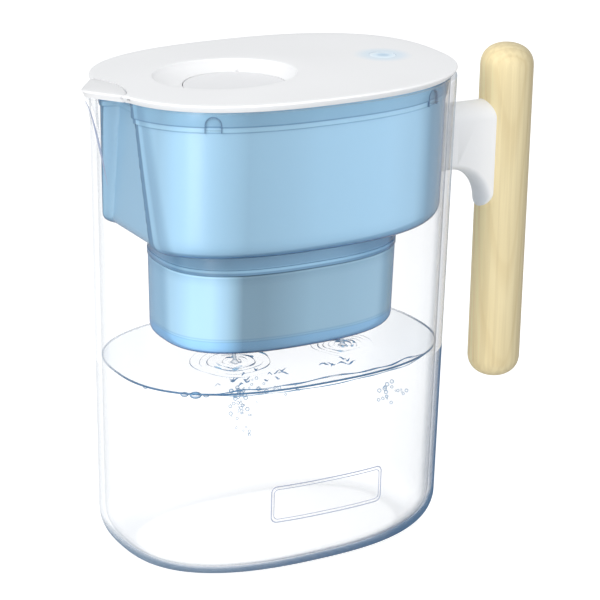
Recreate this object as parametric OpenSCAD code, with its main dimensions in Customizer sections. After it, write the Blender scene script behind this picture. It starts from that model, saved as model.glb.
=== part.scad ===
// Water filter pitcher with a flip lid.
// A clear jug with a pouring beak carries a translucent upper reservoir with a filter
// cartridge pushed into its floor. A white lid with a refill flap, a spout cover and a
// filter reminder button closes it, and a white bracket holds a round wooden grip.
// Millimetres, Z up. Origin: centre of the base on the table. The beak points to -X and
// the handle to +X.

/* [Jug] */
// Half length of the jug's plan at the lid
jug_a_top = 100; // [90:0.5:115]
// Half length of the jug's plan at the table
jug_a_base = 95.7; // [85:0.1:110]
// Half width of the jug's plan at the lid
jug_b_top = 69.7; // [62:0.1:80]
// Half width of the jug's plan at the table
jug_b_base = 66.1; // [60:0.1:78]
// Squareness of the plan, where 2 is an ellipse
plan_n = 2.47; // [2.3:0.01:2.8]
// Height of the jug's rim
jug_h = 260.2; // [240:0.5:300]
// Jug wall
jug_wall = 3.2; // [2.4:0.1:3.4]
// Jug floor
jug_floor = 4; // [3:0.5:8]
// Round between the jug's wall and its base
base_round = 20; // [12:1:26]
// How far the beak stands out of the wall at the rim
beak_out = 12.4; // [8:0.1:16]
// Height of the beak, from the rim down to where it leaves the wall
beak_drop = 49.5; // [35:0.5:70]
// Half width of the beak at the rim
beak_w = 26; // [22:0.5:30]

/* [Reservoir] */
// Depth of the reservoir, from the jug's rim down to its underside
tank_drop = 80.2; // [70:0.5:100]
// Reservoir wall
tank_wall = 2.4; // [1.8:0.1:3]
// Reservoir floor
tank_floor = 2.6; // [2:0.1:4]
// Air between the jug's wall and the reservoir's rim band
tank_gap = 0.7; // [0.5:0.1:1.2]
// Step from the rim band in to the reservoir's wall
band_step = 1.5; // [1:0.1:2]
// Height of the rim band
band_h = 8.3; // [6:0.1:14]
// Second step of the band, below the first
band_foot = 2.8; // [1.5:0.1:5]
// Round along the reservoir's lower edge
tank_round = 9; // [5:0.5:14]
// Distance of the pour channel's flat back from the centre
channel_x = 84; // [80.5:0.5:87]
// Half width of the pour channel at the rim
channel_top = 14; // [10:0.5:18]
// Half width of the pour channel at the reservoir's underside
channel_low = 25; // [20:0.5:28]
// Depth of the collar that holds the cartridge, below the reservoir's underside
collar_h = 13.5; // [8:0.5:20]
// Distance of the four carrying lugs from the jug's centre, along X
lug_x = 67; // [55:1:72]
// Width of the arched notches that sit on the lugs
notch_w = 8; // [6:0.5:12]

/* [Cartridge] */
// Half length of the cartridge at the collar
cart_a = 69; // [60:0.5:72]
// Half width of the cartridge
cart_b = 43.9; // [36:0.1:48]
// Height of the cartridge's box, below the collar
cart_h = 45; // [30:0.5:70]
// Cartridge wall
cart_wall = 2.2; // [1.6:0.1:3]
// Round along the cartridge's lower edge
cart_round = 5; // [3:0.5:10]
// Distance of the filter block from the outside of the cartridge
block_in = 6.5; // [6:0.5:12]
// Distance of the outlets from the centre, along X
outlet_x = 33; // [20:1:45]
// Distance of the outlets from the centre, along Y
outlet_y = 15; // [8:1:22]

/* [Lid] */
// Thickness of the lid's edge
lid_t = 4.2; // [3.6:0.1:6]
// Skin of the lid
lid_skin = 2.4; // [1.8:0.1:3]
// Depth of the dish round the refill flap
dish_depth = 7; // [5:0.5:10]
// Half length of the dish's rim
dish_a = 39.4; // [35:0.2:44]
// Half width of the dish's rim
dish_b = 31.3; // [30:0.1:36]
// Centre of the dish's rim
dish_x = -30.2; // [-36:0.2:-24]
// Radius of the refill flap
flap_r = 28; // [22:0.5:29]
// Centre of the refill flap
flap_x = -23.5; // [-27:0.5:-20]
// Thickness of the refill flap
flap_t = 2.4; // [2.2:0.1:3.2]
// Distance of the refill flap's pivot from its centre
pivot_x = 14.5; // [8:0.5:18]
// Radius of the flap's pivots
pivot_r = 0.95; // [0.8:0.05:1.05]
// Thickness of the spout cover
cover_t = 2.4; // [2.2:0.1:3]
// Radius of the spout cover's pivots
cover_pin_r = 0.75; // [0.6:0.05:0.8]
// Distance of the reminder button from the centre
button_x = 66.3; // [58:0.5:68]
// Radius of the reminder button
button_r = 7.2; // [6:0.1:9]

/* [Handle] */
// Diameter of the wooden grip
grip_d = 30; // [26:0.5:36]
// Length of the wooden grip
grip_l = 196.5; // [160:0.5:220]
// How far the grip stands above the jug's rim
grip_over = 3.3; // [0:0.5:12]
// Length of the grip's domed ends
grip_dome = 13; // [8:0.5:16]
// Distance from the jug's wall to the grip's axis
grip_reach = 48.8; // [44:0.2:60]
// From the jug's rim down to the top of the bracket
bracket_drop = 22; // [15:0.1:40]
// Height of the bracket where it meets the jug
bracket_h = 40.1; // [34:0.1:50]
// Width of the bracket
bracket_w = 23; // [18:0.5:28]
// Radius of the arch under the bracket
arch_r = 15.8; // [10:0.2:20]

/* [Clearances] */
// Gap beside a part that lifts out or flips
play = 0.4; // [0.3:0.05:0.6]
// Radial gap of a pivot in its bore
pivot_gap = 0.07; // [0.03:0.01:0.1]
// Gap between parts that are screwed or pressed together
fit_gap = 0.05; // [0.02:0.01:0.1]

/* [Hidden] */
$fn = 64;

ring_n = 96;            // points round the jug's and the reservoir's plan
beak_crowd = 0.5;       // crowds those points towards the beak
box_n = 72;             // points round the cartridge's plan
dish_n = 60;            // points round the dish
eps = 0.01;
past = 1;               // how far a cutter runs past the face that it cuts

lid_rise = 0.6;         // gap over the jug's rim, as the lid stands on the reservoir
lid_z = jug_h + lid_rise;
lid_top = lid_z + lid_t;
skin_z = lid_top - lid_skin;
edge_round = 1;

tank_z = jug_h - tank_drop;
band_in = jug_wall + tank_gap;
tank_in = band_in + band_step;
rim_in = tank_in + tank_wall;
band_z = lid_z - band_h;
foot_z = band_z - band_foot;
step_rise = 0.4;        // slope of each step of the band
lug_gap = 0.3;          // round each lug, in the notch that sits on it
lug_top = foot_z + notch_w + lug_gap;
lug_h = 6.4;
lug_root = 1;           // how deep each lug starts inside the jug's wall
jug_rim = 0.8;          // chamfer of the jug's rim

collar_z = tank_z - collar_h;
cart_z = collar_z - cart_h;
cart_n = 2.6;
cart_taper = 1.4;       // the cartridge is this much shorter at its foot, at each end
bead = 0.35;
bead_h = 3;
neck_in = cart_wall + play;
neck_wall = 2;
cap_sink = 0.6;         // the cap's underside lies this far below the reservoir's floor
cap_z = tank_z + tank_floor - cap_sink;
cap_t = 2.2;
gasket_up = 7.5;
gasket_z = collar_z + gasket_up;
gasket_h = 3;
gasket_w = 1.1;
cart_floor = 3;
rib_h = 4.5;
pad_t = 2;
block_z = cart_z + cart_floor + rib_h + pad_t;
screen_t = 2;
cap_skirt = 6;
outlet_r = 2.2;
spout_t = 1.4;

skirt_in = rim_in + play;
skirt_t = 1.8;
skirt_z = lid_z - 10;
flap_z = lid_top - dish_depth;              // top of the refill flap
flap_gap = 0.5;
pivot_z = flap_z - flap_t / 2;
pivot_cx = flap_x + pivot_x;
pivot_y = sqrt(pow(flap_r, 2) - pow(pivot_x, 2));
pivot_len = 3;
dish_wall = 2.6;
stop_t = 1.4;
stop_gap = 0.3;
stop_z = flap_z - flap_t - stop_gap - stop_t;
stop_lap = 1.6;                             // how far the stop reaches under the flap
stop_end = 4;                               // the stop's half ring ends this far left of centre
boss_gap = 0.8;
boss_l = 4;
boss_t = 1.7;
rib_y = 14;                                 // the two ribs from the dish to the reminder's case
rib_t = 1.4;
rib_drop = 2.6;

seam_x = -jug_a_top;                        // centre of the round seam behind the spout cover
seam_a = 8.9;
seam_b = 22.6;
seam_gap = 0.6;
pin_back = 3.5;                             // from the seam's centre back to the cover's pivot
cover_pin_x = seam_x + pin_back;
cover_pin_z = lid_top - 1.4;
cover_pin_y = (seam_b - seam_gap) * sqrt(1 - pow(pin_back / (seam_a - seam_gap), 2));
cover_pin_l = 2.8;
cover_lip = 1.2;                            // the rim under the cover's front edge

button_t = 1.6;
button_flange = 1.1;
button_travel = 0.6;
case_r = 16;
case_wall = 1.4;
case_h = 12.8;
case_gap = 0.2;
case_top = skin_z - case_gap;
case_z = case_top - case_h;
case_seat = 3.4;        // floor of the case under the board
board_up = 6.6;
board_z = case_z + board_up;
cup_h = 2.6;            // the ring under the lid that grips the case
cup_t = 1.6;
board_t = 1.4;
board_r = case_r - case_wall - 0.4;
switch_h = 1.9;
cell_r = 10;
cell_t = 3.2;
hatch_r = 12.4;
hatch_t = 1.2;
hatch_seal = 0.4;
coin_slot = [12, 1.8, 0.8];

bracket_top = jug_h - bracket_drop;
grip_top = jug_h + grip_over;
grip_r = grip_d / 2;
wall_x = half_a(bracket_top - bracket_h / 2);
grip_x = wall_x + grip_reach;
grip_z = grip_top - grip_l;
seat_x = grip_x - grip_r;
arm_lap = 1.9;          // how far the bracket's arms reach round the grip
arm_x = seat_x + arm_lap;
arch_start = 6.5;       // from the wall to the arch under the bracket
nose_r = 6.4;           // round foot of the bracket
nose_drop = 1.1;
crown_r = 13;           // round over the bracket's top, at the grip
bracket_edge = 4;
rail_up = 4;
rail_z = bracket_top - bracket_h + rail_up;
rail_gap = 0.15;
rail_h = 30;
rail_neck = 3;
rail_head = 3;
rail_w = 15;
rail_slot = 9.6;
screw_r = 1.9;
screw_head_r = 3.5;
screw_head_h = 3;
insert_r = 3.1;
insert_l = 10;
insert_sink = 1;
insert_relief = 3;      // room behind each insert
screw_back = 0.8;
head_in = rail_neck + rail_head + screw_back;
screw_slot = [1, 4, 1.2];
screw_zs = [rail_z + 5.5, rail_z + 25];

// ---- shared functions ----
function mix(a, b, t) = a + (b - a) * t;
function smooth(t) = let (u = max(0, min(1, t))) u * u * (3 - 2 * u);
function spow(v, p) = sign(v) * pow(abs(v), p);
function oval(t, a, b, n) = [a * spow(cos(t), 2 / n), b * spow(sin(t), 2 / n)];

// Half axes of the jug's outside at height z
function half_a(z) = mix(jug_a_base, jug_a_top, z / lid_top);
function half_b(z) = mix(jug_b_base, jug_b_top, z / lid_top);

// Angles round the jug, closer together near the beak
function ring_angle(i) = let (t = 360 * i / ring_n) t + beak_crowd * sin(t) * 180 / PI;
function beak_share(z) = max(0, 1 - (jug_h - z) / beak_drop);
function beak_reach(z) = let (t = beak_share(z)) beak_out * (0.83 * pow(t, 1.15) + 0.17 * pow(t, 10));
function beak_half(z) = mix(14, beak_w, beak_share(z));
function beak_bump(y, w) = abs(y) >= w ? 0 : pow(1 - pow(y / w, 2), 1.3);

function jug_point(t, z, inset) =
    let (p = oval(t, half_a(z) - inset, half_b(z) - inset, plan_n))
    let (push = p.x < 0 ? beak_reach(z) * beak_bump(p.y, beak_half(z) - 0.6 * inset) : 0)
    [p.x - push, p.y, z];
function jug_ring(z, inset) = [for (i = [0:ring_n - 1]) jug_point(ring_angle(i), z, inset)];

// The reservoir follows the jug, and its beak end is pressed in to a flat pour channel
function channel_half(z) = mix(channel_low, channel_top, (z - tank_z) / (lid_z - tank_z));
function tank_point(t, z, inset, wide) =
    let (p = oval(t, half_a(z) - inset, half_b(z) - inset, plan_n))
    let (inner = max(0, inset - tank_in), w = channel_half(z) + inner + wide + 4)
    let (back = -channel_x + inner, s = p.x < back ? smooth((w - abs(p.y)) / 4) : 0)
    [mix(p.x, back, s), p.y, z];
function tank_ring(z, inset, wide = 0) =
    [for (i = [0:ring_n - 1]) tank_point(ring_angle(i), z, inset, wide)];
function flat(ring) = [for (p = ring) [p.x, p.y]];

function cart_ring(z, inset, grow = 0) =
    let (a = cart_a - cart_taper * (collar_z - min(z, collar_z)) / (collar_z - cart_z))
    [for (i = [0:box_n - 1])
        let (p = oval(360 * i / box_n, a - inset + grow, cart_b - inset + grow, cart_n)) [p.x, p.y, z]];
function cart_plan(inset) = flat(cart_ring(collar_z, inset));

// Dish of the lid: from the flap's round hole (share 0) to the oval rim (share 1)
function dish_ring(share, z, grow) =
    let (r = flap_r + flap_gap + grow)
    [for (i = [0:dish_n - 1])
        let (t = 360 * i / dish_n)
        [mix(flap_x + r * cos(t), dish_x + (dish_a + grow) * cos(t), share),
         mix(r * sin(t), (dish_b + grow) * sin(t), share), z]];

// Quarter round as [inset, rise] pairs, from the flat face to the wall
function quarter(r, steps) =
    [for (k = [0:steps]) let (t = 90 * k / steps) [r * (1 - sin(t)), r * (1 - cos(t))]];
function arc(cx, cy, r, from, to, steps) =
    [for (k = [0:steps]) let (t = mix(from, to, k / steps)) [cx + r * cos(t), cy + r * sin(t)]];

// Closed skin through rings of equal count, first to last, with flat ends
module skin(rings) {
    n = len(rings[0]);
    last = len(rings) - 1;
    polyhedron(
        points = [for (ring = rings) each ring],
        faces = concat(
            [[for (i = [0:n - 1]) i]],
            [for (k = [0:last - 1]) for (i = [0:n - 1])
                let (j = (i + 1) % n, a = k * n, b = a + n)
                each [[a + i, b + i, b + j], [a + i, b + j, a + j]]],
            [[for (i = [n - 1:-1:0]) last * n + i]]));
}

module at_handle_side(x, z) { translate([x, 0, z]) rotate([0, 90, 0]) children(); }
module across(x, z, y0, y1) { translate([x, y0, z]) rotate([-90, 0, 0]) cylinder(r = $pin_r, h = y1 - y0); }

// ---- jug ----
// Places its child on the jug's wall at each lug, with +Y pointing outwards
module at_lugs() {
    z = foot_z;
    share = pow(lug_x / half_a(z), plan_n);
    y = half_b(z) * pow(1 - share, 1 / plan_n);
    turn = atan2(share / lug_x, (1 - share) / y);
    for (sx = [-1, 1]) for (sy = [-1, 1])
        scale([sx, sy, 1]) translate([lug_x, y, 0]) rotate(-turn) children();
}

// Arched block from the wall inwards, between two insets
module arch_block(w, from, to, low, top) {
    translate([-w / 2, -to, low]) cube([w, to - from, top - w / 2 - low]);
    translate([0, -from, top - w / 2]) rotate([90, 0, 0]) cylinder(d = w, h = to - from);
}

module pitcher_jug() {
    base = quarter(base_round, 6);
    inside = quarter(base_round - jug_wall, 5);
    beak_zs = [for (t = [0, 0.2, 0.4, 0.58, 0.74, 0.87, 0.95]) jug_h - beak_drop * (1 - t)];
    color("azure", 0.35) union() {
        skin(concat(
            [for (q = base) jug_ring(q[1], q[0])],
            [for (z = beak_zs) jug_ring(z, 0)],
            [jug_ring(jug_h - jug_rim, 0), jug_ring(jug_h, jug_rim), jug_ring(jug_h, jug_wall - jug_rim)],
            [for (k = [len(beak_zs) - 1:-1:0]) jug_ring(beak_zs[k], jug_wall)],
            [for (k = [len(inside) - 1:-1:0])
                jug_ring(jug_floor + inside[k][1], jug_wall + inside[k][0])]));
        at_lugs() arch_block(notch_w - 2 * lug_gap, jug_wall - lug_root, tank_in - lug_gap,
                             lug_top - lug_gap - lug_h, lug_top - lug_gap);
        handle_rail();
    }
}

// T-shaped rail on the jug's back wall, which the bracket slides down over
module handle_rail() {
    root = 2;
    translate([wall_x - root, -rail_slot / 2, rail_z]) cube([root + rail_neck + eps, rail_slot, rail_h]);
    translate([wall_x + rail_neck, -rail_w / 2, rail_z]) cube([rail_head, rail_w, rail_h]);
}

// ---- handle ----
// Side outline of the bracket, in X and Z
function bracket_outline() =
    let (low = bracket_top - bracket_h, start = wall_x + rail_gap * 2)
    let (arch_x = start + arch_start, foot_x = arch_x + arch_r + nose_r)
    concat(
        [[start, bracket_top], [start, low]],
        arc(arch_x, low - arch_r, arch_r, 90, 0, 8),
        arc(foot_x, low - arch_r - nose_drop, nose_r, 180, 360, 12),
        arc(arm_x - crown_r, bracket_top - crown_r, crown_r, 0, 90, 8));

module handle_bracket() {
    color("whitesmoke") difference() {
        intersection() {
            translate([0, bracket_w / 2, 0]) rotate([90, 0, 0]) linear_extrude(bracket_w)
                polygon(bracket_outline());
            // rounds the long edges, seen along X
            translate([wall_x, 0, 0]) rotate([90, 0, 90]) linear_extrude(grip_reach)
                bar_outline(bracket_w, bracket_top - 2 * bracket_h, bracket_top, bracket_edge);
        }
        translate([grip_x, 0, grip_z]) cylinder(r = grip_r + fit_gap, h = grip_l, $fn = 96);
        bracket_channel();
        for (z = screw_zs) {
            at_handle_side(wall_x, z)
                cylinder(r = screw_head_r + 2 * rail_gap, h = head_in + screw_head_h);
            at_handle_side(wall_x, z) cylinder(r = screw_r + rail_gap, h = grip_reach);
        }
    }
}

module bar_outline(w, low, top, r) {
    polygon(concat(
        [[-w / 2, low], [w / 2, low]],
        arc(w / 2 - r, top - r, r, 0, 90, 6),
        arc(-w / 2 + r, top - r, r, 90, 180, 6)));
}

module bracket_channel() {
    gap = rail_gap;
    h = rail_h + bracket_h;
    translate([wall_x - past, -rail_slot / 2 - gap, rail_z + rail_h + gap - h])
        cube([past + rail_neck, rail_slot + 2 * gap, h]);
    translate([wall_x + rail_neck - gap, -rail_w / 2 - gap, rail_z + rail_h + gap - h])
        cube([rail_head + 2 * gap, rail_w + 2 * gap, h]);
}

module handle_grip() {
    steps = 8;
    n = 2.3;
    dome = [for (k = [0:steps]) let (t = 90 * k / steps)
        [grip_r * pow(cos(t), 2 / n), grip_dome * pow(sin(t), 2 / n)]];
    color("burlywood") difference() {
        translate([grip_x, 0, grip_z]) rotate_extrude($fn = 96)
            polygon(concat(
                [for (k = [steps:-1:0]) [dome[k].x, grip_dome - dome[k].y]],
                [for (p = dome) [p.x, grip_l - grip_dome + p.y]]));
        for (z = screw_zs)
            at_handle_side(seat_x - past, z)
                cylinder(r = insert_r + fit_gap, h = past + insert_sink + insert_l + insert_relief);
    }
}

module grip_inserts() {
    color("goldenrod") for (z = screw_zs) at_handle_side(seat_x + insert_sink, z) difference() {
        cylinder(r = insert_r, h = insert_l);
        translate([0, 0, -past]) cylinder(r = screw_r + fit_gap, h = insert_l + 2 * past);
    }
}

module grip_screws() {
    head_x = wall_x + head_in;
    color("silver") for (z = screw_zs) at_handle_side(head_x, z) difference() {
        union() {
            cylinder(r = screw_head_r, h = screw_head_h);
            cylinder(r = screw_r, h = seat_x + insert_l - head_x);
        }
        for (turn = [0, 90]) rotate(turn)
            translate([-screw_slot.x / 2, -screw_slot.y / 2, -past])
                cube([screw_slot.x, screw_slot.y, past + screw_slot.z]);
    }
}

// ---- reservoir ----
module reservoir_tank() {
    edge = quarter(tank_round, 4);
    inside = quarter(tank_round - 1, 3);
    color("lightskyblue", 0.6) difference() {
        union() {
            skin(concat(
                [for (q = edge) tank_ring(tank_z + q[1], tank_in + q[0])],
                [tank_ring(mix(tank_z, foot_z, 0.55), tank_in), tank_ring(foot_z, tank_in),
                 tank_ring(foot_z + step_rise, mix(tank_in, band_in, 0.6)),
                 tank_ring(band_z, mix(tank_in, band_in, 0.6)), tank_ring(band_z + step_rise, band_in),
                 tank_ring(lid_z, band_in), tank_ring(lid_z, rim_in)],
                [tank_ring(mix(tank_z, foot_z, 0.55), rim_in)],
                [for (k = [len(inside) - 1:-1:0])
                    tank_ring(tank_z + tank_floor + inside[k][1], rim_in + inside[k][0])]));
            translate([0, 0, collar_z]) linear_extrude(collar_h + eps) polygon(cart_plan(0));
            translate([0, 0, collar_z]) linear_extrude(bead_h) polygon(cart_plan(-bead));
        }
        translate([0, 0, collar_z - past]) linear_extrude(collar_h + tank_floor + 2 * past)
            polygon(cart_plan(cart_wall));
        at_lugs() arch_block(notch_w, 0, tank_in - 0.05, foot_z - past, lug_top);
    }
}

// ---- cartridge ----
module cartridge_housing() {
    low = quarter(cart_round, 4);
    shoulder = collar_z - 0.3;
    color("skyblue", 0.6) difference() {
        union() {
            skin(concat(
                [for (q = low) cart_ring(cart_z + q[1], q[0])],
                [cart_ring(shoulder, 0), cart_ring(shoulder, neck_in), cart_ring(cap_z, neck_in),
                 cart_ring(cap_z, neck_in + neck_wall), cart_ring(shoulder - 4, neck_in + neck_wall),
                 cart_ring(shoulder - 7, cart_wall), cart_ring(cart_z + cart_round, cart_wall),
                 cart_ring(cart_z + cart_floor, cart_wall + 2.5)]));
            for (x = [-48:12:48]) translate([x - 0.8, -cart_b / 2, cart_z + cart_floor - eps])
                cube([1.6, cart_b, rib_h]);
            at_outlets() translate([0, 0, -1]) cylinder(r = outlet_r + spout_t, h = cart_floor);
        }
        difference() {
            translate([0, 0, gasket_z - fit_gap]) linear_extrude(gasket_h + 2 * fit_gap)
                polygon(cart_plan(neck_in - past));
            translate([0, 0, gasket_z - past]) linear_extrude(gasket_h + 2 * past)
                polygon(cart_plan(neck_in + gasket_w - 0.3));
        }
        at_outlets() translate([0, 0, -past - 1]) cylinder(r = outlet_r, h = cart_floor + 2 * past + 1);
    }
}

module at_outlets() {
    for (sx = [-1, 1]) for (sy = [-1, 1]) translate([sx * outlet_x, sy * outlet_y, cart_z]) children();
}

module cartridge_gasket() {
    out = cart_wall + fit_gap;
    color("lightsteelblue") translate([0, 0, gasket_z]) linear_extrude(gasket_h) difference() {
        polygon(cart_plan(out));
        polygon(cart_plan(neck_in + gasket_w - 0.3 - fit_gap));
    }
}

module cartridge_cap() {
    inner = neck_in + neck_wall + fit_gap;
    rows = [-26, -13, 0, 13, 26];
    color("white") difference() {
        union() {
            translate([0, 0, cap_z]) linear_extrude(cap_t) polygon(cart_plan(neck_in));
            translate([0, 0, cap_z - cap_skirt]) linear_extrude(cap_skirt + eps) difference() {
                polygon(cart_plan(inner));
                polygon(cart_plan(inner + 1.6));
            }
        }
        for (y = rows) let (reach = cart_a * pow(1 - pow(abs(y) / cart_b, cart_n), 1 / cart_n) - 14)
            for (side = [-1, 1]) translate([side * (reach / 2 + 1.5), y, cap_z + cap_t / 2])
                cube([reach - 3, 3.2, cap_t + 2 * past], center = true);
    }
}

module filter_slab(z, h) { translate([0, 0, z]) linear_extrude(h) polygon(cart_plan(block_in)); }
module outlet_pad() { color("aliceblue") filter_slab(block_z - pad_t, pad_t); }
module carbon_block() { color("slategray") filter_slab(block_z, cap_z - cap_skirt - screen_t - block_z); }
module inlet_screen() { color("aliceblue") filter_slab(cap_z - cap_skirt - screen_t, screen_t); }

// ---- lid ----
module lid_plate() {
    skin([jug_plain_ring(lid_z, 0), jug_plain_ring(lid_top - edge_round, 0),
          jug_plain_ring(lid_top - 0.3, 0.3), jug_plain_ring(lid_top, edge_round)]);
}
function jug_plain_ring(z, inset) = [for (i = [0:ring_n - 1])
    let (p = oval(ring_angle(i), jug_a_top - inset, jug_b_top - inset, plan_n)) [p.x, p.y, z]];

function skirt_plan(inset) = flat(tank_ring(skirt_z, skirt_in + inset, 3.5));

// Ring welded under the lid, which centres it inside the reservoir
module lid_collar() {
    color("white") translate([0, 0, skirt_z]) linear_extrude(lid_z - skirt_z) difference() {
        polygon(skirt_plan(0));
        polygon(skirt_plan(skirt_t));
    }
}

module seam_oval(shrink) {
    polygon([for (i = [0:47]) let (t = 360 * i / 48)
        [seam_x + (seam_a - shrink) * cos(t), (seam_b - shrink) * sin(t)]]);
}

// The hollow of the dish, down through the flap's hole
module dish_hollow() {
    shares = [0, 0.3, 0.6, 0.85, 1];
    skin(concat(
        [dish_ring(0, flap_z - 12, 0), dish_ring(0, flap_z, 0)],
        [for (k = [1:4]) dish_ring(shares[k], mix(flap_z, lid_top - 0.6, pow(k / 4, 1.5)), 0)],
        [dish_ring(1, lid_top, 0.7), dish_ring(1, lid_top + past, 0.7)]));
}

module dish_bowl() {
    skin([dish_ring(0, stop_z, dish_wall), dish_ring(0.1, flap_z - 1.5, dish_wall),
          dish_ring(1, skin_z, dish_wall), dish_ring(1, lid_top - 1, dish_wall)]);
}

// Half ring under the flap's free half, on which the flap rests
module flap_stop() {
    intersection() {
        translate([flap_x, 0, stop_z]) difference() {
            cylinder(r = flap_r + flap_gap + 1, h = stop_t);
            translate([0, 0, -past]) cylinder(r = flap_r - stop_lap, h = stop_t + 2 * past);
        }
        translate([flap_x - 2 * flap_r, -2 * flap_r, stop_z - past])
            cube([2 * flap_r - stop_end, 4 * flap_r, stop_t + 2 * past]);
    }
}

module lid_shell() {
    color("white") union() {
        difference() {
            lid_body();
            dish_hollow();
            // round seam behind the spout cover, and its two pivot bores
            translate([0, 0, lid_z - past]) linear_extrude(lid_t + 2 * past) seam_oval(0);
            let ($pin_r = cover_pin_r + pivot_gap, y = cover_pin_y + cover_pin_l + play)
                across(cover_pin_x, cover_pin_z, -y, y);
            let ($pin_r = pivot_r + pivot_gap, y = pivot_y + pivot_len + play)
                across(pivot_cx, pivot_z, -y, y);
            // button hole with the ledge that keeps the button in
            translate([button_x, 0, skin_z - past]) cylinder(r = button_r + 0.1, h = lid_t + 2 * past);
            translate([button_x, 0, skin_z - past])
                cylinder(r = button_r + 1.3, h = past + lid_skin - button_t + eps);
        }
        flap_stop();
    }
}

module lid_body() {
    rib_x = dish_x + dish_a * sqrt(1 - pow(rib_y / dish_b, 2)) + 1;
    rib_end = button_x - sqrt(pow(case_r + 1, 2) - pow(rib_y, 2));
    boss_y = pivot_y + boss_gap;
    union() {
        difference() {
            lid_plate();
            translate([0, 0, lid_z - past]) linear_extrude(skin_z - lid_z + past)
                polygon(skirt_plan(skirt_t));
        }
        dish_bowl();
        for (low = [-boss_y - boss_l, boss_y]) let ($pin_r = pivot_r + boss_t)
            across(pivot_cx, pivot_z, low, low + boss_l);
        translate([button_x, 0, case_top - cup_h]) difference() {
            cylinder(r = case_r + case_gap + cup_t, h = cup_h + case_gap + eps);
            translate([0, 0, -past]) cylinder(r = case_r + case_gap, h = past + cup_h + case_gap);
        }
        for (y = [-rib_y, rib_y]) translate([rib_x, y - rib_t / 2, skin_z - rib_drop])
            cube([rib_end - rib_x, rib_t, rib_drop + eps]);
    }
}

module refill_flap() {
    edge = 0.6;
    color("white") union() {
        translate([flap_x, 0, flap_z - flap_t]) rotate_extrude($fn = 96)
            polygon([[0, 0], [flap_r - edge, 0], [flap_r, edge], [flap_r, flap_t - edge],
                     [flap_r - edge, flap_t], [0, flap_t]]);
        for (low = [-pivot_y - pivot_len, pivot_y - 1]) let ($pin_r = pivot_r)
            across(pivot_cx, pivot_z, low, low + pivot_len + 1);
    }
}

// Outline of the spout cover: the seam's oval behind, the beak's outline in front
function cover_outline(shrink) =
    let (n = 24, w = seam_b - seam_gap - shrink - 0.6)
    concat(
        [for (k = [0:n]) let (y = mix(-w, w, smooth_half(k / n)))
            [seam_x + (seam_a - seam_gap - shrink) * sqrt(max(0, 1 - pow(y / (w + 0.6), 2))), y]],
        [for (k = [n:-1:0]) let (y = mix(-w, w, smooth_half(k / n)))
            [beak_x(y) + shrink, y]]);
function smooth_half(t) = (1 - cos(180 * t)) / 2;
function beak_x(y) =
    -jug_a_top * pow(1 - pow(abs(y) / jug_b_top, plan_n), 1 / plan_n) - beak_out * beak_bump(y, beak_w);

module spout_cover() {
    function raise(pts, z) = [for (p = pts) [p.x, p.y, z]];
    low = lid_top - cover_t;
    lip_end = -seam_x + 1;
    color("gainsboro") union() {
        skin([raise(cover_outline(0), low), raise(cover_outline(0), lid_top - edge_round),
              raise(cover_outline(0.45), lid_top - 0.4), raise(cover_outline(edge_round), lid_top)]);
        translate([0, 0, low - cover_lip]) linear_extrude(cover_lip + 0.5) difference() {
            polygon(cover_outline(0));
            polygon(cover_outline(1.6));
            translate([-lip_end, -beak_w]) square([lip_end, 2 * beak_w]);
        }
        for (low = [-cover_pin_y - cover_pin_l, cover_pin_y - 2]) let ($pin_r = cover_pin_r)
            across(cover_pin_x, cover_pin_z, low, low + cover_pin_l + 2);
    }
}

// ---- filter reminder ----
module indicator_button() {
    stem_h = skin_z + lid_skin - button_t - button_flange - (board_z + board_t + switch_h);
    color("powderblue") translate([button_x, 0, lid_top]) union() {
        translate([0, 0, -button_t - eps]) cylinder(r = button_r, h = button_t);
        translate([0, 0, -button_t - button_flange]) cylinder(r = button_r + 1, h = button_flange);
        translate([0, 0, -button_t - button_flange - stem_h]) cylinder(r = 1.6, h = stem_h + eps);
    }
}

module indicator_case() {
    opening_r = cell_r + 0.6;
    color("whitesmoke") translate([button_x, 0, case_z]) difference() {
        cylinder(r = case_r, h = case_h);
        translate([0, 0, case_seat]) cylinder(r = board_r - 1.2, h = case_h);
        translate([0, 0, board_up]) cylinder(r = case_r - case_wall, h = case_h);
        translate([0, 0, -past]) cylinder(r = opening_r, h = case_seat + 2 * past);
        translate([0, 0, -past]) cylinder(r = hatch_r + 0.1, h = past + hatch_t + hatch_seal);
    }
}

module circuit_board() {
    color("seagreen") translate([button_x, 0, board_z]) cylinder(r = board_r, h = board_t);
}

module indicator_led() {
    color("aqua") translate([button_x + 5, 0, board_z + board_t]) union() {
        translate([-1.4, -1.4, 0]) cube([2.8, 2.8, 0.8]);
        translate([0, 0, 0.8 - eps]) cylinder(r = 1.1, h = 0.6);
    }
}

module tact_switch() {
    body_h = 1.2;
    color("dimgray") translate([button_x, 0, board_z + board_t]) union() {
        translate([-2.6, -2.6, 0]) cube([5.2, 5.2, body_h]);
        translate([0, 0, body_h - eps]) cylinder(r = 1.3, h = switch_h - body_h - button_travel + eps);
    }
}

module battery_contact() {
    color("gold") translate([button_x, 0, board_z]) union() {
        translate([-6, -2, -0.4]) cube([12, 4, 0.4]);
        for (side = [-1, 1]) translate([side * 5.6 - 0.4, -2, -1]) cube([0.8, 4, 0.7]);
    }
}

module coin_cell() {
    color("silver") translate([button_x, 0, board_z - 1 - cell_t]) union() {
        cylinder(r = cell_r - 0.8, h = cell_t);
        translate([0, 0, 0.5]) cylinder(r = cell_r, h = cell_t - 0.5);
    }
}

module battery_cover() {
    color("whitesmoke") translate([button_x, 0, case_z]) difference() {
        union() {
            cylinder(r = hatch_r, h = hatch_t);
            cylinder(r = cell_r + 0.4, h = board_z - 1 - cell_t - case_z);
        }
        translate([-coin_slot.x / 2, -coin_slot.y / 2, -past])
            cube([coin_slot.x, coin_slot.y, past + coin_slot.z]);
    }
}

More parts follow.
